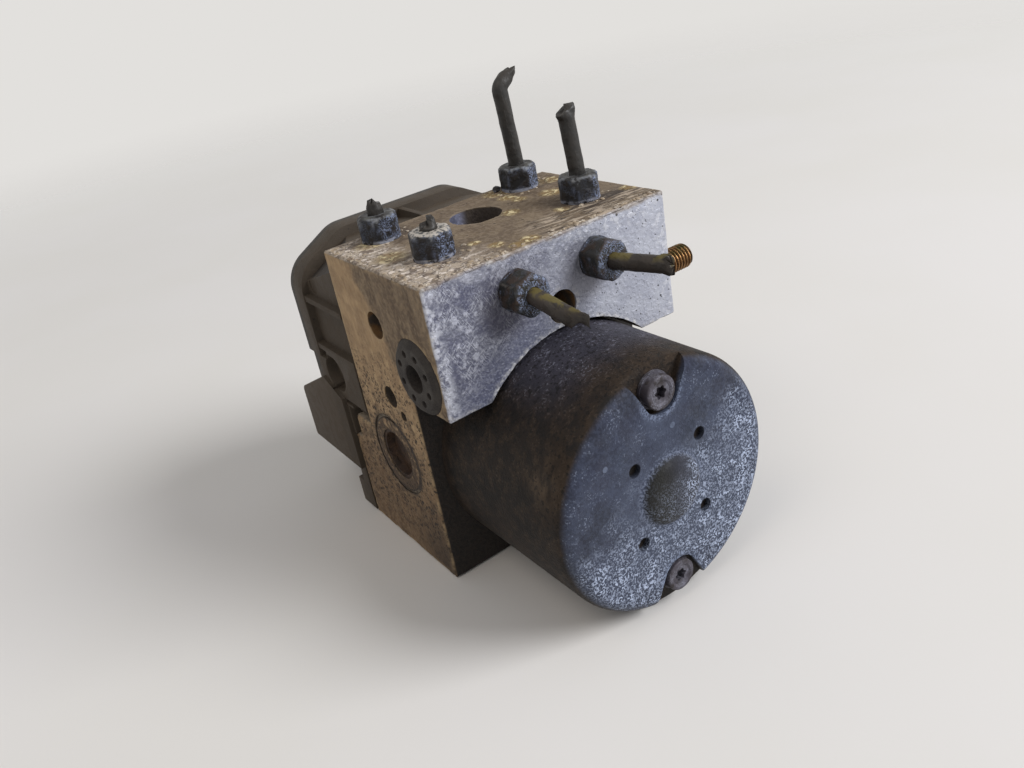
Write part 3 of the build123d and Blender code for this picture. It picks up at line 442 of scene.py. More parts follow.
def head_front(place, edge, shared):
    """The head's front: blue-grey metal with pale oxide on the left, brighter on the right."""
    x, _, z = axes(place)
    _, middling, fine, wander = shared
    rightwards = total(x, both(wander, 14.0))
    bright = span(rightwards, -8.0, 26.0)
    leftwards = span(rightwards, 10.0, -14.0)
    arch = away_from(place, motor_centre, "y")
    off_arch = span(arch, 41.0, 51.0)
    clouds = patches(place, 8, 0.42, 0.62, detail=5, shift=23)
    scoured = patches(place, 6, 0.42, 0.55, detail=3, shift=51)
    blotches = patches(place, 1.5, 0.5, 0.62, detail=6, stretch=(0.8, 1, 1.5), turn=(0, -0.5, 0))
    strokes = patches(place, 0.55, 0.52, 0.64, detail=4, stretch=(0.6, 1, 4), turn=(0, 0.5, 0))
    crossing = patches(place, 0.5, 0.54, 0.66, detail=4, stretch=(0.6, 1, 5), turn=(0, -0.8, 0), shift=9)
    oxide = both(either(blotches, strokes, crossing), leftwards, off_arch, scoured)
    grain = patches(place, 0.6, 0.46, 0.62, detail=5, shift=71)
    left_band = both(span(x, -35.8, -39.8), patches(place, 1.6, 0.4, 0.58, detail=5, shift=81))
    top_band = both(span(z, 94.0, 99.5), leftwards, patches(place, 4, 0.4, 0.6, shift=83))
    # Dark smudges to the left of each front nut: dirt with a painted shadow of the nut.
    dirt_and_shadow_left = span(away_from(place, (-17.0, 0, 88.2), "y"), 12.5, 6.0)
    dirt_and_shadow_right = span(away_from(place, (10.0, 0, 88.4), "y"), 11.5, 6.0)
    dirt_and_shadow = either(dirt_and_shadow_left, dirt_and_shadow_right)
    low_arch = both(span(arch, 52.0, 40.0), span(x, 4.0, -14.0))
    lip = both(span(arch, 39.5, 38.3), patches(place, 1.5, 0.45, 0.6, shift=7))
    crusted = span(total(z, both(wander, 1.2)), 100.2, 101.3)
    corner = either(span(z, 90.0, 100.0), span(x, 32.0, 40.0))
    salt = both(corner, bright, patches(place, 1.5, 0.5, 0.62, detail=6, shift=3))
    holes = both(either(pores(place, 2.6, 0.5, 3), pores(place, 1.5, 0.3, 13)), bright)
    base = layered(
        "#6d6f7e", (bright, "#a0a3b0"), (both(clouds, leftwards), "#52546a", 0.75),
        (both(clouds, bright), "#b9bcc6", 0.5), (low_arch, "#666a80", 0.6),
        (grain, "#c0c2cc", 0.22), (oxide, "#c4c6d1", 0.62),
        (left_band, "#cdcfd9", 0.8), (top_band, "#b4b5c0", 0.5),
        (dirt_and_shadow, "#3d3741", 0.42), (salt, "#d3d4da", 0.55), (lip, "#cfcfd2", 0.8),
        (holes, "#201c1c", 0.9), (crusted, "#77685a", 0.85),
        (both(edge, fine, middling), "#c6c3bf", 0.55),
    )
    return base, oxide, holes, crusted


def left_side(place, edge, shared):
    """The left side: tan film, streaked, darker towards the front; pits and stains lower down."""
    _, y, z = axes(place)
    _, middling, fine, wander = shared
    streaks = patches(place, 1.6, 0.46, 0.66, detail=5, stretch=(1, 1, 3.2), turn=(0.08, 0, 0))
    broad_streaks = patches(place, 5, 0.4, 0.6, detail=3, stretch=(1, 1, 4), shift=45)
    frontwards = span(total(y, both(z, -0.56), both(wander, 8.0)), -64.0, -72.0)
    low_down = span(z, 58.0, 22.0)
    mottles = patches(place, 3.2, 0.46, 0.62, detail=6, shift=97)
    foot = both(span(y, -8.0, -34.0), span(z, 32.0, 4.0))
    pitted = both(span(z, 84.0, 52.0), span(z, 2.0, 14.0))
    wide_pits = pores(place, 2.2, 1.15)
    small_pits = either(pores(place, 1.5, 0.75, 9), pores(place, 0.9, 0.4, 19))
    groove = away_from(place, (0, *plug_centre), "x")
    near_plug = span(groove, 30.0, 12.0)
    pits = both(wide_pits, patches(place, 6, 0.44, 0.56, shift=19))
    pits = either(both(pits, pitted), both(small_pits, pitted, patches(place, 5, 0.36, 0.52)))
    pits = either(pits, both(wide_pits, near_plug, 0.9))
    # A thin near-black ring in the staking groove: dirt and painted shade in the groove.
    groove_dirt_and_shade = both(span(groove, 11.8, 12.4), span(groove, 14.2, 13.4))
    stained = both(span(groove, 15.5, 12.0), patches(place, 2.5, 0.34, 0.5, detail=5, shift=77))
    base = layered(
        "#9f8462", (streaks, "#bba07a", 0.5), (middling, "#745c42", 0.5),
        (frontwards, "#483a2d", 0.92), (both(broad_streaks, frontwards), "#786752", 0.5),
        (both(streaks, frontwards), "#98866c", 0.3), (low_down, "#4b3623", 0.75),
        (both(mottles, span(z, 66.0, 50.0)), "#3b2a1c", 0.7), (fine, "#a89070", 0.22),
        (both(low_down, streaks), "#7d6143", 0.4), (foot, "#2b1f16", 0.8),
        (pits, "#20160f", 0.9), (both(edge, middling), "#a8916f", 0.6),
        (stained, "#36271b", 0.8), (groove_dirt_and_shade, "#1d130c", 0.85),
    )
    return base, pits


def top_face(place, edge, shared):
    """The top: brown film, cream crust at the left, golden rust in spots, flakes at the front right."""
    x, y, _ = axes(place)
    broad, middling, fine, _ = shared
    crumbs = patches(place, 2.0, 0.48, 0.58, detail=6, shift=13)
    nut_gaps = [span(away_from(place, (nx, ny, 0), "z"), 11.0, 7.0) for nx, ny in top_nuts]
    round_nuts = either(*nut_gaps)
    spots = [
        (17.8, -5.7, 4.5), (16.5, -13.7, 3.2), (17.2, -18.7, 2.6), (26.3, -23.6, 4.2), (7.6, -27.4, 3.2),
        (34.6, -11.3, 4.0), (-14.1, -40.2, 2.0), (-11.7, -47.4, 2.4), (-8.6, -53.0, 2.6), (-4.0, -52.4, 3.0),
        (16.5, -40.6, 2.6), (39.2, -44.0, 3.0), (-31.0, -10.0, 4.5), (-33.0, -27.0, 5.0), (-16.0, -22.0, 3.0),
    ]
    gold = either(*[span(away_from(place, (sx, sy, 0), "z"), r * 1.25, r * 0.45) for sx, sy, r in spots])
    left_edge = span(x, -24.0, -33.0)
    corner = both(span(x, -10.0, -28.0), span(y, -38.0, -46.0))
    pale = either(left_edge, corner)
    ridge = both(span(y, -39.0, -44.0), span(x, -6.0, 8.0))
    flaked = patches(place, 1.5, 0.46, 0.56, detail=5, stretch=(4.5, 1, 1), turn=(0, 0, 0.12), shift=37)
    cracks = patches(place, 1.3, 0.54, 0.6, detail=5, stretch=(5, 1, 1), turn=(0, 0, 0.12), shift=57)
    scars = patches(place, 3.0, 0.52, 0.6, detail=5, shift=87)
    base = layered(
        "#62523f", (broad, "#796a55", 0.6), (middling, "#4a3b2d", 0.6),
        (fine, "#8d7d69", 0.35), (pale, "#b9aa98", 0.8),
        (both(pale, crumbs), "#ddd0c3", 0.85), (both(scars, pale), "#54443a", 0.7),
        (both(ridge, flaked), "#ad9d8a", 0.85), (both(ridge, cracks), "#2c2119", 0.9),
        (gold, "#8f7440", 0.6), (both(gold, crumbs), "#dccb9f", 0.9),
        (both(round_nuts, middling), "#3b2e24", 0.6),
        (pores(place, 2.0, 0.5, 5), "#2a1f17", 0.85), (both(edge, middling), "#a99a86", 0.4),
    )
    relief = either(both(gold, crumbs), both(pale, crumbs), both(ridge, flaked))
    return base, relief


def machined_aluminium():
    """Machined aluminium after years of salt: grey metal on the head's face, tan dirt and oxide elsewhere."""
    material, place = new_material("machined_aluminium_oxidised")
    x, y, z = axes(place)
    edge = stored(place, "worn_edge")
    bore = stored(place, "bored")
    broad = patches(place, 14, 0.35, 0.65)
    middling = patches(place, 5, 0.4, 0.6, detail=4, shift=31)
    fine = patches(place, 1.2, 0.42, 0.6, detail=5, shift=57)
    shared = (broad, middling, fine, patches(place, 6, 0.2, 0.8, detail=5, shift=11))
    face, oxide, holes, crusted = head_front(place, edge, shared)
    side, pits = left_side(place, edge, shared)
    top, crust = top_face(place, edge, shared)

    # Painted shade on the faces behind the motor, and the rest of the block.
    shade_behind_motor = layered("#130f0d", (middling, "#1f1814", 0.5), (fine, "#352b23", 0.3))
    rest = layered("#7b6f60", (broad, "#8f8373"), (middling, "#61564a", 0.6),
                   (pores(place, 2.4, 0.9, 21), "#2f261f", 0.8), (fine, "#a39886", 0.3))
    on_face = span(y, -55.5, -56.0)
    on_side = span(x, -40.3, -40.8)
    on_top = span(z, 100.2, 100.7)
    in_front = both(span(y, -36.0, -36.4), span(z, 64.0, 62.5))
    low_hole = both(middling, span(z, 76.0, 80.0), span(z, 90.0, 86.0), 0.9)
    # Inside the holes: dark dirt and painted shade, browner in patches at mid height.
    hole_dirt_and_shade = layered("#2c221b", (low_hole, "#6b4a20"))
    base = layered(
        rest, (in_front, shade_behind_motor), (on_side, side), (on_top, top), (on_face, face), (bore, hole_dirt_and_shade, 0.9),
    )
    # A painted highlight: pale blue on the top bore's wall at the left, with glossier metal there.
    bore_painted_highlight = both(bore, span(away_from(place, (*top_bore, 0), "z"), 8.7, 8.2), span(x, 3.0, -3.0))
    base = layered(base, (bore_painted_highlight, "#a3a7c2"))
    metallic = levels(0.0, (on_face, 0.35), (crusted, 0.0), (bore_painted_highlight, 0.8))
    roughness = levels(0.8, (on_face, 0.48), (both(oxide, on_face), 0.7), (bore_painted_highlight, 0.3))
    return close_material(
        material, base, roughness, metallic,
        bumps=[(fine, 0.08), (both(crust, on_top), 0.45), (both(pits, on_side, -1.0), 0.6),
               (both(either(oxide, both(holes, -1.0)), on_face), 0.1)],
    )


def motor_enamel():
    """Grey enamel on drawn steel: slate with white corrosion bloom on the end, dark road film on the wall."""
    material, place = new_material("enamelled_steel_bloomed")
    x, y, z = axes(place)
    edge = stored(place, "worn_edge")
    broad = patches(place, 12, 0.35, 0.65, detail=4)
    fine = patches(place, 0.9, 0.42, 0.6, detail=5, shift=5)
    wander = patches(place, 9, 0.25, 0.75, detail=4, shift=17)
    cloudy = patches(place, 6, 0.42, 0.62, detail=6, shift=71)
    middle = away_from(place, motor_centre, "y")

    # White bloom lies thick in a crescent low down and to the right, and thins out above.
    sinking = total(both(z, -1.0), both(x, 0.42), both(wander, 16.0))
    thick = both(span(sinking, -43.0, -19.0), span(middle, 38.0, 32.0))
    foot = span(z, 14.0, 1.0)
    on_end = span(y, -89.5, -91.2)
    grains = patches(place, 0.5, 0.47, 0.57, detail=5, shift=43)
    clumps = patches(place, 3.0, 0.38, 0.58, detail=4, shift=61)
    thin_grains = both(patches(place, 0.55, 0.57, 0.63, detail=5, shift=93), clumps, cloudy)
    bloom = either(both(grains, thick, either(clumps, 0.5)), both(thin_grains, 0.3))
    dots = both(pores(place, 4.6, 1.0, 2), patches(place, 14, 0.45, 0.6, shift=33), 0.8)
    on_bump = both(span(middle, 10.4, 9.6), on_end)
    bump_ring = both(span(middle, 12.6, 10.4), span(middle, 9.2, 10.2))
    bloom = both(bloom, levels(1.0, (both(on_bump, span(x, 7.0, -1.0)), 0.3)))
    olive = both(on_bump, span(x, 4.0, -5.0))
    # The dimples are painted near black: painted shade in them.
    dimples = either(*[span(away_from(place, centre, "y"), 2.2, 1.6) for centre in dimple_centres])
    notches = either(*[span(away_from(place, centre, "y"), 8.4, 6.3) for centre in bolt_centres])
    # Painted shade on the floor of each bolt pocket.
    notch_floor_shade = both(notches, span(y, -91.0, -90.0))
    rim_line = both(notches, span(y, -91.0, -91.6), grains)
    end = layered(
        "#2c2f3e", (broad, "#22252f", 0.8), (cloudy, "#434a5c", 0.4),
        (thick, "#3c4456", 0.5), (fine, "#474e61", 0.3), (foot, "#1b1e27", 0.7), (on_bump, "#2c2d35", 0.85),
        (olive, "#1b1a13", 0.8), (bloom, "#b3bed5", 0.95), (dots, "#737d92", 0.8),
        (both(bump_ring, grains), "#7b8397", 0.7), (rim_line, "#7f8aa2", 0.8),
        (edge, "#525a6c", 0.3), (notch_floor_shade, "#17181e", 0.7), (dimples, "#101116"),
    )

    # The wall: near black below, greyer with pale specks on top, tan dust towards the end.
    upper = both(span(z, 62.0, 72.0), span(y, -86.0, -66.0))
    dusty = both(span(y, -72.0, -89.0), span(z, 30.0, 56.0),
                 patches(place, 6, 0.38, 0.6, detail=5, stretch=(1, 1.8, 1), shift=9))
    streak = both(span(away_from(place, (-34.0, -82.0, 53.0)), 9.0, 1.0),
                  patches(place, 3, 0.35, 0.7, detail=6, stretch=(1, 1, 2), shift=69))
    stains = patches(place, 3.5, 0.42, 0.62, detail=6, shift=87)
    specks = patches(place, 0.7, 0.54, 0.62, detail=5, shift=15)
    dark_specks = patches(place, 1.1, 0.55, 0.62, detail=4, shift=25)
    wall = layered(
        "#15110f", (broad, "#231b16", 0.8), (cloudy, "#0d0a09", 0.5),
        (stains, "#34291f", 0.5), (upper, "#403f4a", 0.75),
        (dusty, "#3a2f25", 0.6), (streak, "#6a5947", 0.55),
        (both(specks, stains), "#493d32", 0.5), (both(specks, upper, stains), "#878c9f", 0.55),
        (dark_specks, "#0b0908", 0.7), (span(y, -40.0, -37.2), "#332b26", 0.6),
    )
    base = layered(wall, (on_end, end))
    roughness = levels(0.6, (on_end, 0.5), (both(bloom, on_end), 0.78), (dusty, 0.8))
    return close_material(
        material, base, roughness, 0.0,
        bumps=[(fine, 0.05), (both(bloom, on_end), 0.14), (both(dots, on_end), 0.12), (specks, 0.05)],
        Specular_IOR_Level=0.22,
    )


def nut_salt(place, edge, broad, shade):
    """What lies on a tube nut: a worn crown and rim, a pale foot, and salt on the front left nut."""
    x, y, z = axes(place)
    foot = both(span(z, 102.2, 101.5), span(z, 100.6, 101.0), patches(place, 2, 0.35, 0.5))
    salt = both(span(x, -18.0, -19.0), span(y, -31.0, -32.0), facing(place, (0, 0, 1), 0.4, 0.8),
                patches(place, 1.2, 0.42, 0.52, detail=5, shift=3))
    crown = both(facing(place, (0, 0, 1), 0.5, 0.95), span(z, 106.5, 107.5), broad)
    rim = both(edge, span(z, 105.6, 107.0), patches(place, 1.5, 0.36, 0.5, detail=4, shift=63))
    return layered(shade, (crown, "#5c5c56", 0.55), (rim, "#85878a", 0.55), (foot, "#a5a8b5", 0.6),
                   (salt, "#b5aea4", 0.9))


def corroded_steel(name, base, light, dark, bloom, amount, roughness=0.6, metallic=0.3, towards=None):
    """Coated steel with rust in its hollows and a pale bloom in specks; given a direction, the specks gather
    on the side facing it, which is painted light from the window lamp.
    """
    material, place = new_material(name)
    edge = stored(place, "worn_edge")
    broad = patches(place, 4, 0.4, 0.6, detail=4)
    rust = patches(place, 2.6, 0.46, 0.6, detail=4, shift=12)
    specks = both(patches(place, 0.4, 0.44, 0.6, detail=5, shift=33),
                  patches(place, 1.8, 0.38, 0.54, detail=4, shift=53), amount)
    # Painted light: the bloom specks gather on the side that faces the window lamp.
    if towards:
        specks = both(specks, either(facing(place, towards, 0.35, 0.8), both(broad, 0.15)))
    else:
        specks = both(specks, broad)
    shade = layered(base, (broad, light, 0.5), (rust, dark, 0.7), (specks, bloom),
                    (both(edge, broad), bloom, 0.25))
    if name.startswith("phosphated"):
        shade = nut_salt(place, edge, broad, shade)
    rough = levels(roughness, (specks, 0.85), (both(rust, 0.6), 0.75))
    return close_material(material, shade, rough, metallic, bumps=[(specks, 0.12), (rust, 0.12)])


def moulded_plastic():
    """Glass-filled nylon, moulded: a fine grain under warm dust, paler where ribs and edges are rubbed."""
    material, place = new_material("moulded_nylon_dusty")
    _, y, z = axes(place)
    edge = stored(place, "worn_edge")
    broad = patches(place, 16, 0.35, 0.65, detail=4)
    dust = patches(place, 3.5, 0.45, 0.62, detail=5, shift=14)
    grain = patches(place, 0.35, 0.35, 0.65, detail=2, shift=2)
    connector = both(span(z, 52.0, 49.0), span(y, 22.0, 24.0))
    base = layered(
        "#25201c", (broad, "#1c1815", 0.6), (connector, "#3a3129", 0.8),
        (dust, "#3b322a", 0.4), (edge, "#574c3f", 0.5),
        (pores(place, 3.4, 0.5, 6), "#1a1613", 0.5),
    )
    bumps = [(grain, 0.03), (dust, 0.04)]
    return close_material(material, base, levels(0.6, (dust, 0.68)), 0.0, bumps, Specular_IOR_Level=0.25)


def plain_finish(name, base, second, size, roughness, metallic, grain=0.03, stretch=(1, 1, 1)):
    """A pressed, turned, drawn or moulded surface: two near shades in patches, and a fine grain."""
    material, place = new_material(name)
    cloud = patches(place, size, 0.4, 0.6, detail=4, stretch=stretch)
    fine = patches(place, max(0.25, size * 0.15), 0.35, 0.65, detail=2, stretch=stretch, shift=4)
    base = layered(base, (cloud, second, 0.7))
    rough = levels(roughness, (both(fine, 0.5), min(1.0, roughness + 0.15)))
    return close_material(material, base, rough, metallic, bumps=[(fine, grain)])


def coppered_thread():
    """Copper flash on a rolled thread: bright on the crests, dark dirt in the roots, verdigris on top."""
    material, place = new_material("coppered_steel_thread")
    x, _, z = axes(place)
    out = away_from(place, (0, isolator_centre[0], isolator_centre[1]), "x")
    crest = span(out, 3.35, 3.95)
    green = both(span(z, 74.4, 76.8), patches(place, 2.0, 0.35, 0.6))
    tip = span(x, 57.4, 59.2)
    base = layered("#24170f", (crest, "#96714a"), (green, "#4a4d2c", 0.8),
                   (tip, "#2c2723", 0.85))
    rough = levels(0.6, (crest, 0.38))
    bumps = [(patches(place, 0.6, 0.4, 0.6), 0.04)]
    return close_material(material, base, rough, levels(0.4, (crest, 0.9)), bumps)


def coated_pipe(name, base, dust, streak, streak_amount):
    """Plastic-coated steel pipe, scuffed lengthways; the streak lies on the side that faces up."""
    material, place = new_material(name)
    cloud = patches(place, 5, 0.4, 0.6, detail=4, shift=8)
    scuffs = patches(place, 1.0, 0.5, 0.62, detail=4, stretch=(1, 3, 3), shift=18)
    up = both(facing(place, (0, 0, 1), 0.3, 0.9), patches(place, 4, 0.46, 0.58, shift=28))
    shade = layered(base, (cloud, dust, 0.5), (scuffs, dust, 0.35), (up, streak, streak_amount))
    rough = levels(0.5, (scuffs, 0.7))
    return close_material(material, shade, rough, 0.0, bumps=[(scuffs, 0.06), (cloud, 0.08)])


def isolator_rubber():
    """Moulded rubber, grey with fine dust that gathers on its face."""
    material, place = new_material("moulded_rubber_dusty")
    dust = patches(place, 4, 0.4, 0.62, detail=5)
    grain = patches(place, 0.5, 0.4, 0.6, detail=2, shift=9)
    face = both(facing(place, (-1, 0, 0), 0.5, 0.9), dust)
    base = layered("#1d1816", (dust, "#2b221c", 0.4), (face, "#332f2b", 0.9), (grain, "#453f38", 0.2))
    return close_material(material, base, 0.8, 0.0, bumps=[(grain, 0.05)])


block_metal = machined_aluminium()
enamel = motor_enamel()
right_front = (0.75, -0.66, 0.0)
motorwards = (0.5, -0.86, 0.0)
# The nuts' pale blue specks lie on the side facing the window lamp: bloom with painted light.
nut_coat = corroded_steel(
    "phosphated_steel_bloomed_painted_light", "#121216", "#1b1c23", "#1f1814", "#838fac", 0.9, 0.5, 0.2, right_front)
face_nut_coat = corroded_steel(
    "phosphated_steel_rusted_painted_light", "#181613", "#262417", "#33241a", "#8590aa", 0.85, 0.55, 0.2, motorwards)
bolt_coat = corroded_steel("plated_steel_stained", "#413d45", "#545058", "#241c17", "#777783", 0.7, 0.55)
plug_coat = corroded_steel("steel_plug_stained", "#2e1e14", "#422c1c", "#1c120b", "#6a5238", 0.4, 0.6)
housing_nylon = moulded_plastic()
rubber = isolator_rubber()
thread_copper = coppered_thread()
black_pipe = coated_pipe("coated_steel_pipe_black", "#151311", "#2b2621", "#3d362e", 0.3)
olive_pipe = coated_pipe("coated_steel_pipe_olive", "#2a2119", "#15120f", "#6d6120", 0.5)

# Pieces out of sight. Words in their nodes' names, then the finish: its name, two shades, the size of its
# patches, roughness, metallic, and where they differ from plain_finish's own, the grain and the stretch.
hidden_finishes = [
    ("bearing motor_shaft eccentric_ring pump_piston pump_sleeve",
     "ground_bearing_steel", "#8f9092", "#a5a6a8", 3, 0.3, 0.9),
    ("_valve", "turned_stainless_steel", "#9a9a98", "#b0afab", 2, 0.35, 0.9, 0.03, (1, 0.3, 1)),
    ("pump_spring accumulator_spring", "drawn_spring_steel", "#55565a", "#6c6d70", 2, 0.4, 0.8),
    ("armature_core", "stamped_silicon_steel", "#55565a", "#707074", 2, 0.45, 0.8, 0.06, (1, 0.15, 1)),
    ("motor_magnets", "sintered_ferrite", "#2a2a2d", "#38383b", 1.5, 0.7, 0.0, 0.08),
    ("armature_winding", "enamelled_copper_wire", "#8c4a22", "#a65f30", 1.2, 0.35, 0.6, 0.2, (0.4, 1, 1)),
    ("commutator", "turned_commutator_copper", "#b07048", "#8a5030", 2, 0.35, 0.9),
    ("motor_brushes", "pressed_carbon", "#1c1c1e", "#2b2b2d", 1, 0.7, 0.1, 0.05),
    ("brush_plate motor_lead", "moulded_phenolic", "#33251b", "#443225", 4, 0.5, 0.0, 0.05),
    ("accumulator_piston accumulator_cap", "anodised_aluminium", "#8b8c90", "#9a9b9f", 4, 0.4, 0.7),
    ("_coil", "overmoulded_coil_nylon", "#1f1f21", "#2a2a2c", 4, 0.5, 0.0, 0.04),
    ("circuit_board", "varnished_board_laminate", "#123a22", "#194a2c", 6, 0.35, 0.0, 0.02),
    ("connector_pins", "tinned_brass", "#b4b0a0", "#c8c4b4", 2, 0.35, 0.9),
    ("controller_screws", "zinc_plated_screw_steel", "#7a7566", "#91897a", 2, 0.42, 0.8),
    ("controller_seal", "moulded_seal_rubber", "#17171a", "#222225", 3, 0.75, 0.0),
    ("controller_lid", "moulded_lid_nylon", "#2c2824", "#3a342d", 9, 0.6, 0.0, 0.05),
]
coats = [(words.split(), plain_finish(*settings)) for words, *settings in hidden_finishes]
coats.append((["pump_plug"], plug_coat))
for name, node in nodes.items():
    finish = next((coat for words, coat in coats if any(word in name for word in words)), housing_nylon)
    node.data.materials.clear()
    node.data.materials.append(finish)


# Pieces ------------------------------------------------------

def mark_bores(piece):
    """Stores which vertices lie down a hole, so that the dirt and painted shade inside show."""
    side = left_face_x + 0.4
    holes = [
        ("z", top_bore, 8.35, block_top - 0.4), ("y", face_bore, 5.1, head_face_y + 0.5),
        ("x", (-24.0, 83.1), 4.5, side), ("x", (-21.9, 59.4), 3.8, side), ("x", (-27.5, 54.8), 1.8, side),
        ("x", isolator_centre, 11.4, side), ("x", plug_centre, 8.8, side),
    ]
    bored = piece.data.attributes.new("bored", "FLOAT", "POINT")
    for index, vertex in enumerate(piece.data.vertices):
        place = vertex.co / MM
        for axis, centre, radius, mouth in holes:
            across = {"x": (place.y, place.z), "y": (place.x, place.z), "z": (place.x, place.y)}[axis]
            depth = {"x": place.x - mouth, "y": place.y - mouth, "z": mouth - place.z}[axis]
            if math.dist(across, centre) < radius and 0 < depth < 20:
                bored.data[index].value = 1.0


block = copy_of("valve_block", "valve_block_body")
slice_finely(block, 1.9, (0.4, 1.0))
mark_bores(block)
wear_edges(block, 0.35, 1.2, 1.1, 0.1)
finish_piece(block, block_metal, ["valve_block"], 30)


def bolt_notch(side, low, high):
    """A cutter for the pocket round a bolt: round below, and flared out past the rim."""
    radius, lean, reach = 6.0, math.radians(28), 12.0
    centre_z = motor_axis_z + side * bolt_reach
    outline = []
    for step in range(17):
        angle = math.pi + lean + (math.pi - 2 * lean) * step / 16
        outline.append((radius * math.cos(angle), radius * math.sin(angle)))
    far_x = (radius + reach * math.sin(lean)) / math.cos(lean)
    outline += [(far_x, reach), (-far_x, reach)]
    count = len(outline)
    points = [(x, y, centre_z + side * z) for y in (low, high) for x, z in outline]
    faces = [tuple(range(count)), tuple(range(count, 2 * count))]
    faces += [(n, (n + 1) % count, (n + 1) % count + count, n + count) for n in range(count)]
    notch = new_piece("notch", points, (), faces)
    edit(notch)
    leave_outward()
    return notch


def model_can():
    """The drawn can: a bearing bump and four dimples in its end, and a pocket with a hole for each bolt."""
    end = motor_end_y
    end_round = 4.0
    inner_end = -86.4
    inner_radius = motor_radius - motor_wall
    bearing_radius, bearing_end = 7.95, -92.0
    profile = [(0, end - 2.2), (6.4, end - 2.2), (8.2, end - 1.9)]
    profile += [(9.4, end - 1.1), (9.9, end - 0.4), (10.4, end)]
    for step in range(9):
        angle = math.radians(90 * step / 8)
        radius = motor_radius - end_round * (1 - math.sin(angle))
        profile.append((radius, end + end_round * (1 - math.cos(angle))))
    profile += [(motor_radius, y) for y in (-80, -70, -60, -50, -42, body_face_y)]
    profile += [(inner_radius, body_face_y), (inner_radius, inner_end), (bearing_radius, inner_end)]
    profile += [(bearing_radius, bearing_end), (0, bearing_end)]
    can = turned("motor_can_shell", profile)
    for side in (-1, 1):
        centre = (0, 0, motor_axis_z + side * bolt_reach)
        carve(can, bolt_notch(side, end - 3, end + notch_depth))
        carve(can, rod("hole", "y", 2.8, end, end + 6, centre, 24))
    for centre in dimple_centres:
        carve(can, rod("dimple", "y", 1.9, end - 1, end + 1.6, centre, 24))
    bevel_edges(can, 0.55, 3, 40)
    wear_edges(can, 0.0, 2.0, 1.2)
    return can


finish_piece(model_can(), enamel, ["motor_can"], 30)


def star_cutter(at, start, end):
    """A six-lobed driver recess."""
    star = rod("star", "y", 1.75, start, end, at, 36)
    for vertex in star.data.vertices:
        dx = vertex.co.x - at[0] * MM
        dz = vertex.co.z - at[2] * MM
        grow = 1 + 0.16 * math.cos(6 * math.atan2(dz, dx))
        vertex.co.x = at[0] * MM + dx * grow
        vertex.co.z = at[2] * MM + dz * grow
    return star


def inset_cap(piece, direction, *steps):
    """Insets the flat end that faces a direction, one (thickness, depth) after another."""
    edit(piece)
    bpy.ops.mesh.select_all(action="DESELECT")
    leave()
    for face in piece.data.polygons:
        face.select = face.normal.dot(Vector(direction)) > 0.9
    pick(piece)
    bpy.ops.object.mode_set(mode="EDIT")
    bpy.ops.mesh.select_mode(type="FACE")
    for thickness, depth in steps:
        bpy.ops.mesh.inset(thickness=thickness * MM, depth=depth * MM)


def model_bolt(centre):
    """A flanged head with a rolled rim, a dished face and a six-lobed recess, on its shank."""
    seat = motor_end_y + notch_depth
    top = seat - 3.5
    head = rod("bolt", "y", 4.7, top, seat, centre, 64)
    inset_cap(head, (0, -1, 0), (1.2, 0), (0.6, -0.45))
    leave()
    bevel_edges(head, 0.5, 3, 50)
    carve(head, rod("flange", "y", 5.2, seat - 0.8, seat, centre, 64), "UNION")
    carve(head, star_cutter(centre, top - 1, top + 2.6))
    carve(head, rod("shank", "y", 2.5, seat - 1, -23.5, centre, 32), "UNION")
    wear_edges(head, 0.0, 1.5, 0.8)
    return head


bolts = joined("motor_through_bolts", [model_bolt(centre) for centre in bolt_centres])
finish_piece(bolts, bolt_coat, ["motor_bolts"])


def model_nut():
    """One tube nut on +Z at the origin: a worn hexagon with a chamfered crown on a thin collar."""
    origin = (0, 0, 0)
    nut = rod("tube_nut", "z", 6.35, 0, nut_height, origin, 6)
    crown = rod("crown", "z", 6.0, -0.5, nut_height, origin)
    inset_cap(crown, (0, 0, 1))
    bpy.ops.mesh.bevel(offset=1.5 * MM, segments=3, affect="EDGES")
    leave()
    carve(nut, crown, "INTERSECT")
    bevel_edges(nut, 0.35, 2, 35)
    carve(nut, rod("collar", "z", 5.8, -0.05, 0.75, origin), "UNION")
    carve(nut, rod("shank", "z", 4.5, -10.3, 0.3, origin, 32), "UNION")
    carve(nut, rod("bore", "z", pipe_radius + 0.055, -11, 9, origin, 32))
    slice_finely(nut, 1.0)
    return nut


def placed_copy(piece, matrix):
    copy = bpy.data.objects.new(piece.name, piece.data.copy())
    copy.data.transform(matrix)
    link(copy)
    return copy


nut_master = model_nut()


def nut_at(index, place, facing_motor, depth):
    turn = Matrix.Rotation(math.radians(90 if facing_motor else 0), 4, "X")
    roll = Matrix.Rotation(math.radians(13 * index), 4, "Z")
    nut = placed_copy(nut_master, Matrix.Translation(Vector(place) * MM) @ turn @ roll)
    weather(nut, depth, 1.6, index * 7.3)
    wear_edges(nut, 0.2, 1.2, 0.7)
    return nut


top_set = [nut_at(n, (nx, ny, block_top), False, 0.16) for n, (nx, ny) in enumerate(top_nuts)]
face_set = [nut_at(n + 4, (nx, head_face_y, nz), True, 0.16) for n, (nx, nz) in enumerate(face_nuts)]
bpy.data.objects.remove(nut_master)
top_set = joined("top_tube_nuts", top_set)
face_set = joined("face_tube_nuts", face_set)
finish_piece(top_set, nut_coat, ["pipe_nuts"])
finish_piece(face_set, face_nut_coat, ["pipe_nuts"])

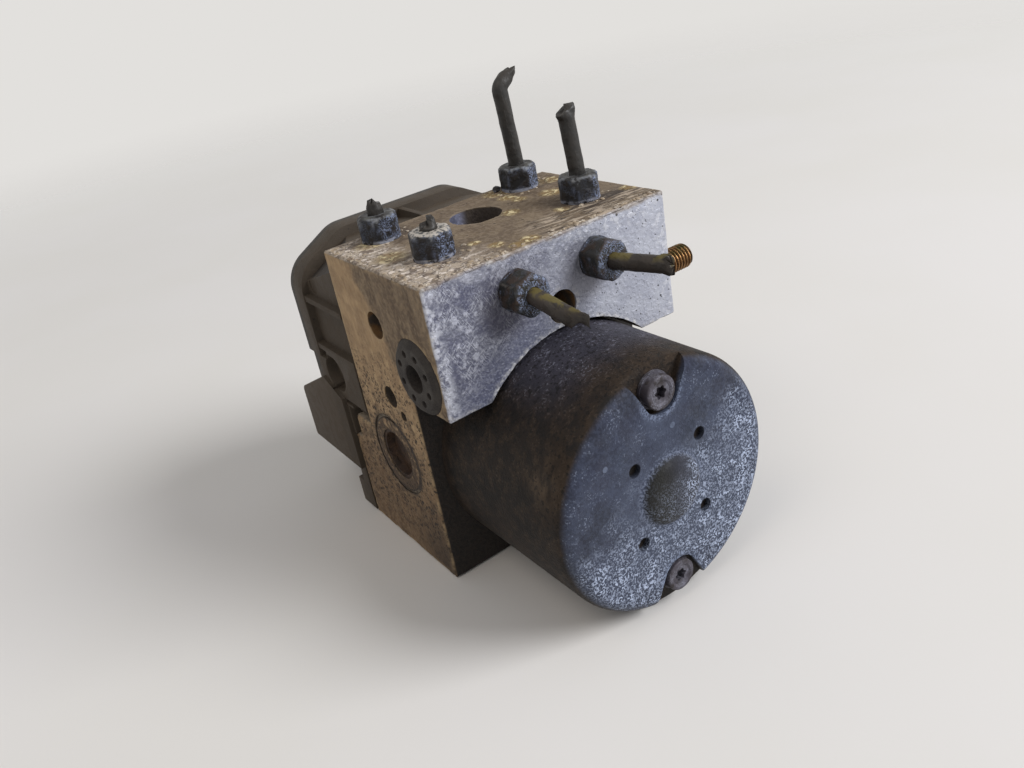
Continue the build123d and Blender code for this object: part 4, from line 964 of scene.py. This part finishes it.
# Pipe routes from the port floors: control points, then the crushed end's length, half sizes, roll and rag.
pipes = {
    "pipe_rear_right": ([(25.5, -8.2, 89.05), (25.5, -8.2, 110), (24.3, -7.8, 132.6), (27.0, -7.5, 134.4)],
                        3.2, 2.6, 1.5, 90, 20, 1.6, black_pipe, "pipe_black"),
    "pipe_front_right": ([(25.5, -38.2, 89.05), (25.5, -38.2, 110), (24.9, -37.6, 123.5)],
                         4.0, 3.3, 2.4, 0, -22, 0.25, black_pipe, "pipe_black"),
    "pipe_rear_left": ([(-25.5, -8.2, 89.05), (-25.5, -8.2, 110)],
                       2.0, 2.0, 1.7, 30, 24, 1.6, black_pipe, "pipe_black"),
    "pipe_front_left": ([(-25.5, -38.2, 89.05), (-25.5, -38.2, 109)],
                        2.0, 2.2, 1.2, 0, -30, 1.8, black_pipe, "pipe_black"),
    "pipe_motor_left": ([(-13.6, -44.25, 90.6), (-13.6, -64.2, 90.6), (-12.5, -71.2, 88.4)],
                        8.0, 3.4, 0.9, 90, -45, 0.6, olive_pipe, "pipe_olive"),
    "pipe_motor_right": ([(13.6, -44.25, 90.6), (13.6, -64.2, 90.6), (16.8, -76.2, 91.0)],
                         5.0, 1.5, 3.0, 0, 0, 1.4, olive_pipe, "pipe_olive"),
}


def rounded_route(points, radius=3.5):
    """The route with each corner as an arc, in short runs."""
    points = [Vector(p) for p in points]
    route = [points[0]]
    for before, corner, after in zip(points, points[1:], points[2:]):
        one = (before - corner).normalized()
        two = (after - corner).normalized()
        half = one.angle(two) / 2
        trim = min(radius / math.tan(half), (after - corner).length * 0.49, (before - corner).length * 0.49)
        start, finish = corner + one * trim, corner + two * trim
        for step in range(9):
            t = step / 8
            route.append(start * (1 - t) ** 2 + corner * 2 * t * (1 - t) + finish * t * t)
    route.append(points[-1])
    return route


def along_route(route, distance):
    """The point and direction at a distance along a route, going straight on past its end."""
    for start, finish in zip(route, route[1:]):
        run = finish - start
        if run.length < 1e-6:
            continue
        if distance <= run.length:
            return start + run.normalized() * distance, run.normalized()
        distance -= run.length
        last = run.normalized()
    return route[-1] + last * distance, last


def model_pipe(name, points, crush, half_width, half_thickness, roll, tilt, rag):
    """A pipe from its flare in the port to its crushed, torn and closed end."""
    closed_length = 0.6
    route = rounded_route(points)
    length = sum((b - a).length for a, b in zip(route, route[1:]))
    whole = length + crush
    seed = len(name) * 3.7 + points[0][0]

    def shape(along, angle):
        distance = along * whole
        closing = max(0.0, (distance - whole + closed_length) / closed_length)
        squeeze = max(0.0, (distance - length) / crush)
        squeeze = squeeze * squeeze * (3 - 2 * squeeze)
        wide = pipe_radius + (half_width - pipe_radius) * squeeze
        thick = pipe_radius + (half_thickness - pipe_radius) * squeeze
        if distance < 1.6:
            wide = thick = flare_radius - 0.75 * distance
        cos, sin = math.cos(angle), math.sin(angle)
        torn = noise.noise(Vector((cos * 1.3, sin * 1.3, seed))) * rag
        torn += noise.noise(Vector((cos * 4, sin * 4, seed))) * rag * 0.5
        slant = cos * wide * math.tan(math.radians(-tilt))
        distance += (torn + slant * 0.8) * squeeze
        centre, ahead = along_route(route, distance)
        side = (Vector((1, 0, 0)) - ahead * ahead.x).normalized()
        lift = ahead.cross(side)
        dent = 1 + 0.05 * noise.noise(Vector((distance / 3, cos, sin + seed)))
        lump = 1 + 0.25 * squeeze * noise.noise(Vector((distance / 1.6, 2 * cos, 2 * sin + seed)))
        dent *= lump * math.sqrt(max(0.0, 1 - min(1.0, closing) ** 2))
        flat = Vector((cos * wide, sin * thick)) * dent
        rolled_x = flat.x * math.cos(math.radians(roll)) - flat.y * math.sin(math.radians(roll))
        rolled_y = flat.x * math.sin(math.radians(roll)) + flat.y * math.cos(math.radians(roll))
        return centre + side * rolled_x + lift * rolled_y

    return cap_ends(rolled(name + "_cut", int(whole / 0.35), 36, shape))


for name, (*shape_of_cut, material, slot) in pipes.items():
    finish_piece(model_pipe(name, *shape_of_cut), material, [name], 50)


def thread_point(along, angle):
    """The stud from its foot in the isolator to its rounded end, with a rolled M8 thread."""
    start, shoulder, thread_start, end = 20.5, 29.0, 43.0, 60.0
    pitch, root_radius, thread_height, end_round = 1.25, 3.25, 0.75, 2.4
    x = start + (end - start) * along
    if x < shoulder:
        radius = 3.3
    elif x < thread_start:
        radius = 3.7
    else:
        phase = ((x - thread_start) / pitch - angle / math.tau) % 1.0
        radius = root_radius + thread_height * min(1.0, max(0.0, 2.6 * abs(phase - 0.5)))
    over = max(0.0, x - (end - end_round)) / end_round
    radius *= math.sqrt(max(0.0, 1 - over * over)) if over else 1
    y, z = isolator_centre
    return (x, y + radius * math.cos(angle), z + radius * math.sin(angle))


stud = cap_ends(rolled("mounting_stud_thread", 250, 56, thread_point))
finish_piece(stud, thread_copper, ["mounting_stud"])

for side in ("left", "right"):
    puck = copy_of(f"isolator_{side}", f"isolator_puck_{side}")
    bevel_edges(puck, 0.3, 2, 40)
    finish_piece(puck, rubber, [f"isolator_{side}"])

housing = copy_of("controller_housing", "controller_moulding")
bevel_edges(housing, 0.4, 2, 35)
wear_edges(housing, 0.0, 2.0, 0.9)
finish_piece(housing, housing_nylon, ["controller_housing"], 40)

# Each accumulator spring, whose end coil rests on the cap, as a copy of its node with its own mesh and steel.
for hand in ("left", "right"):
    spring = copy_of(f"accumulator_spring_{hand}", f"accumulator_coils_{hand}")
    steel = nodes[f"accumulator_spring_{hand}"].data.materials[0]
    finish_piece(spring, steel, [f"accumulator_spring_{hand}"])
    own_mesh(spring)


# Crust: flakes of dried oxide and dirt on the top face -----

def model_flake(seed):
    """An uneven flat lump."""
    deselect()
    bpy.ops.mesh.primitive_ico_sphere_add(subdivisions=2, radius=1 * MM)
    flake = bpy.context.active_object
    weather(flake, 0.45, 1.1, seed)
    for vertex in flake.data.vertices:
        vertex.co.z *= 0.4
    return flake


def scatter_crust():
    rng = Random(11)
    masters = [model_flake(5.0 * n + 2) for n in range(4)]
    places = []
    for nx, ny in top_nuts:
        for _ in range(16):
            angle = rng.uniform(0, math.tau)
            reach = rng.uniform(6.3, 9.5)
            x, y = nx + reach * math.cos(angle), ny + reach * math.sin(angle)
            places.append((x, y, rng.uniform(0.35, 1.0)))
    for _ in range(90):
        places.append((rng.uniform(-40, 40), -55.6 + abs(rng.gauss(0, 1.6)), rng.uniform(0.3, 0.9)))
    for _ in range(50):
        places.append((-40.4 + abs(rng.gauss(0, 2.0)), rng.uniform(-55, -2), rng.uniform(0.3, 1.0)))
    flakes = []
    for px, py, size in places:
        spin = Matrix.Rotation(rng.uniform(0, math.tau), 4, "Z")
        scale = Matrix.Diagonal((size, size * rng.uniform(0.6, 1.0), size * rng.uniform(0.5, 0.9), 1))
        spot = Matrix.Translation(Vector((px, py, block_top + 0.02)) * MM)
        flakes.append(placed_copy(rng.choice(masters), spot @ spin @ scale))
    for master in masters:
        bpy.data.objects.remove(master)
    return joined("oxide_crust", flakes)


dirt = model_flake(31.0)
dirt.name = "dirt_lump"
dirt_place = Matrix.Translation(Vector((19.0, -4.5, block_top + 0.9)) * MM)
dirt.data.transform(dirt_place @ Matrix.Diagonal((1.3, 1.1, 2.6, 1)))
finish_piece(dirt, nut_coat, (), 60)
crust_oxide = corroded_steel("dried_oxide_crust", "#9a8973", "#c4b6a3", "#5d4a39", "#ddd2c2", 0.9, 0.9, 0.0)
finish_piece(scatter_crust(), crust_oxide, (), 60)

# Stage, light and camera -------------------------------------


# A painted bench, pale and matt, that fades out far from the module.
floor_paint, spot = new_material("pale_floor")
floor_tree = floor_paint.node_tree
pale = patches(spot, 180, 0.3, 0.7)
paint = {"Base Color": layered("#dedbd5", (pale, "#e1deda")), "Roughness": 0.8}
paint = add_node(floor_tree, "ShaderNodeBsdfPrincipled", paint)
clear = add_node(floor_tree, "ShaderNodeBsdfTransparent")
far = span(away_from(spot, (0, 0, 0), "z"), 200, 1300)
faded = add_node(floor_tree, "ShaderNodeMixShader", {0: far, 1: paint.outputs[0], 2: clear.outputs[0]})
add_node(floor_tree, "ShaderNodeOutputMaterial", {0: faded.outputs[0]})
deselect()
bpy.ops.mesh.primitive_plane_add(size=14.0, location=(0, 0, -0.0002))
floor = bpy.context.active_object
floor.name = "floor"
floor.data.materials.append(floor_paint)

world = bpy.data.worlds.new("studio")
bpy.context.scene.world = world
world.use_nodes = True
sky = world.node_tree
sky.nodes.clear()
rays = add_node(sky, "ShaderNodeLightPath").outputs
seen = either(rays["Is Camera Ray"], rays["Is Glossy Ray"], rays["Is Transmission Ray"])
room = add_node(sky, "ShaderNodeBackground", {"Color": colour("#eef1f8"), "Strength": 0.42})
wall = add_node(sky, "ShaderNodeBackground", {"Color": colour("#e2e0dd"), "Strength": 1.0})
mixed = add_node(sky, "ShaderNodeMixShader", {0: seen, 1: room.outputs[0], 2: wall.outputs[0]})
add_node(sky, "ShaderNodeOutputWorld", {0: mixed.outputs[0]})


def lamp(name, place, size, power, tint):
    light = bpy.data.lights.new(name, "AREA")
    light.shape = "DISK"
    light.size = size
    light.energy = power
    light.color = colour(tint)[:3]
    holder = bpy.data.objects.new(name, light)
    link(holder)
    aim = Vector((0, -0.03, 0.05)) - Vector(place)
    holder.matrix_world = Matrix.Translation(place) @ aim.to_track_quat("-Z", "Y").to_matrix().to_4x4()


lamp("window_light", (1.5, -1.7, 1.5), 1.5, 72.0, "#fbfcff")
lamp("room_light", (-1.4, -0.3, 2.2), 1.4, 11.0, "#fff3e4")

camera_data = bpy.data.cameras.new("viewpoint")
camera_data.sensor_width = 36.0
camera_data.lens = 30.613
camera_data.shift_x = 0.02173
camera_data.shift_y = -0.02834
camera = bpy.data.objects.new("viewpoint", camera_data)
link(camera)
right = Vector((0.8073, -0.5623, -0.1793)).normalized()
ahead = Vector((0.4522, 0.7845, -0.4243)).normalized()
up = right.cross(ahead).normalized()
right = ahead.cross(up)
turn = Matrix((right, up, -ahead)).transposed().to_4x4()
camera.matrix_world = Matrix.Translation((-0.128, -0.2344, 0.173)) @ turn
bpy.context.scene.camera = camera
bpy.context.scene.view_settings.view_transform = "Standard"
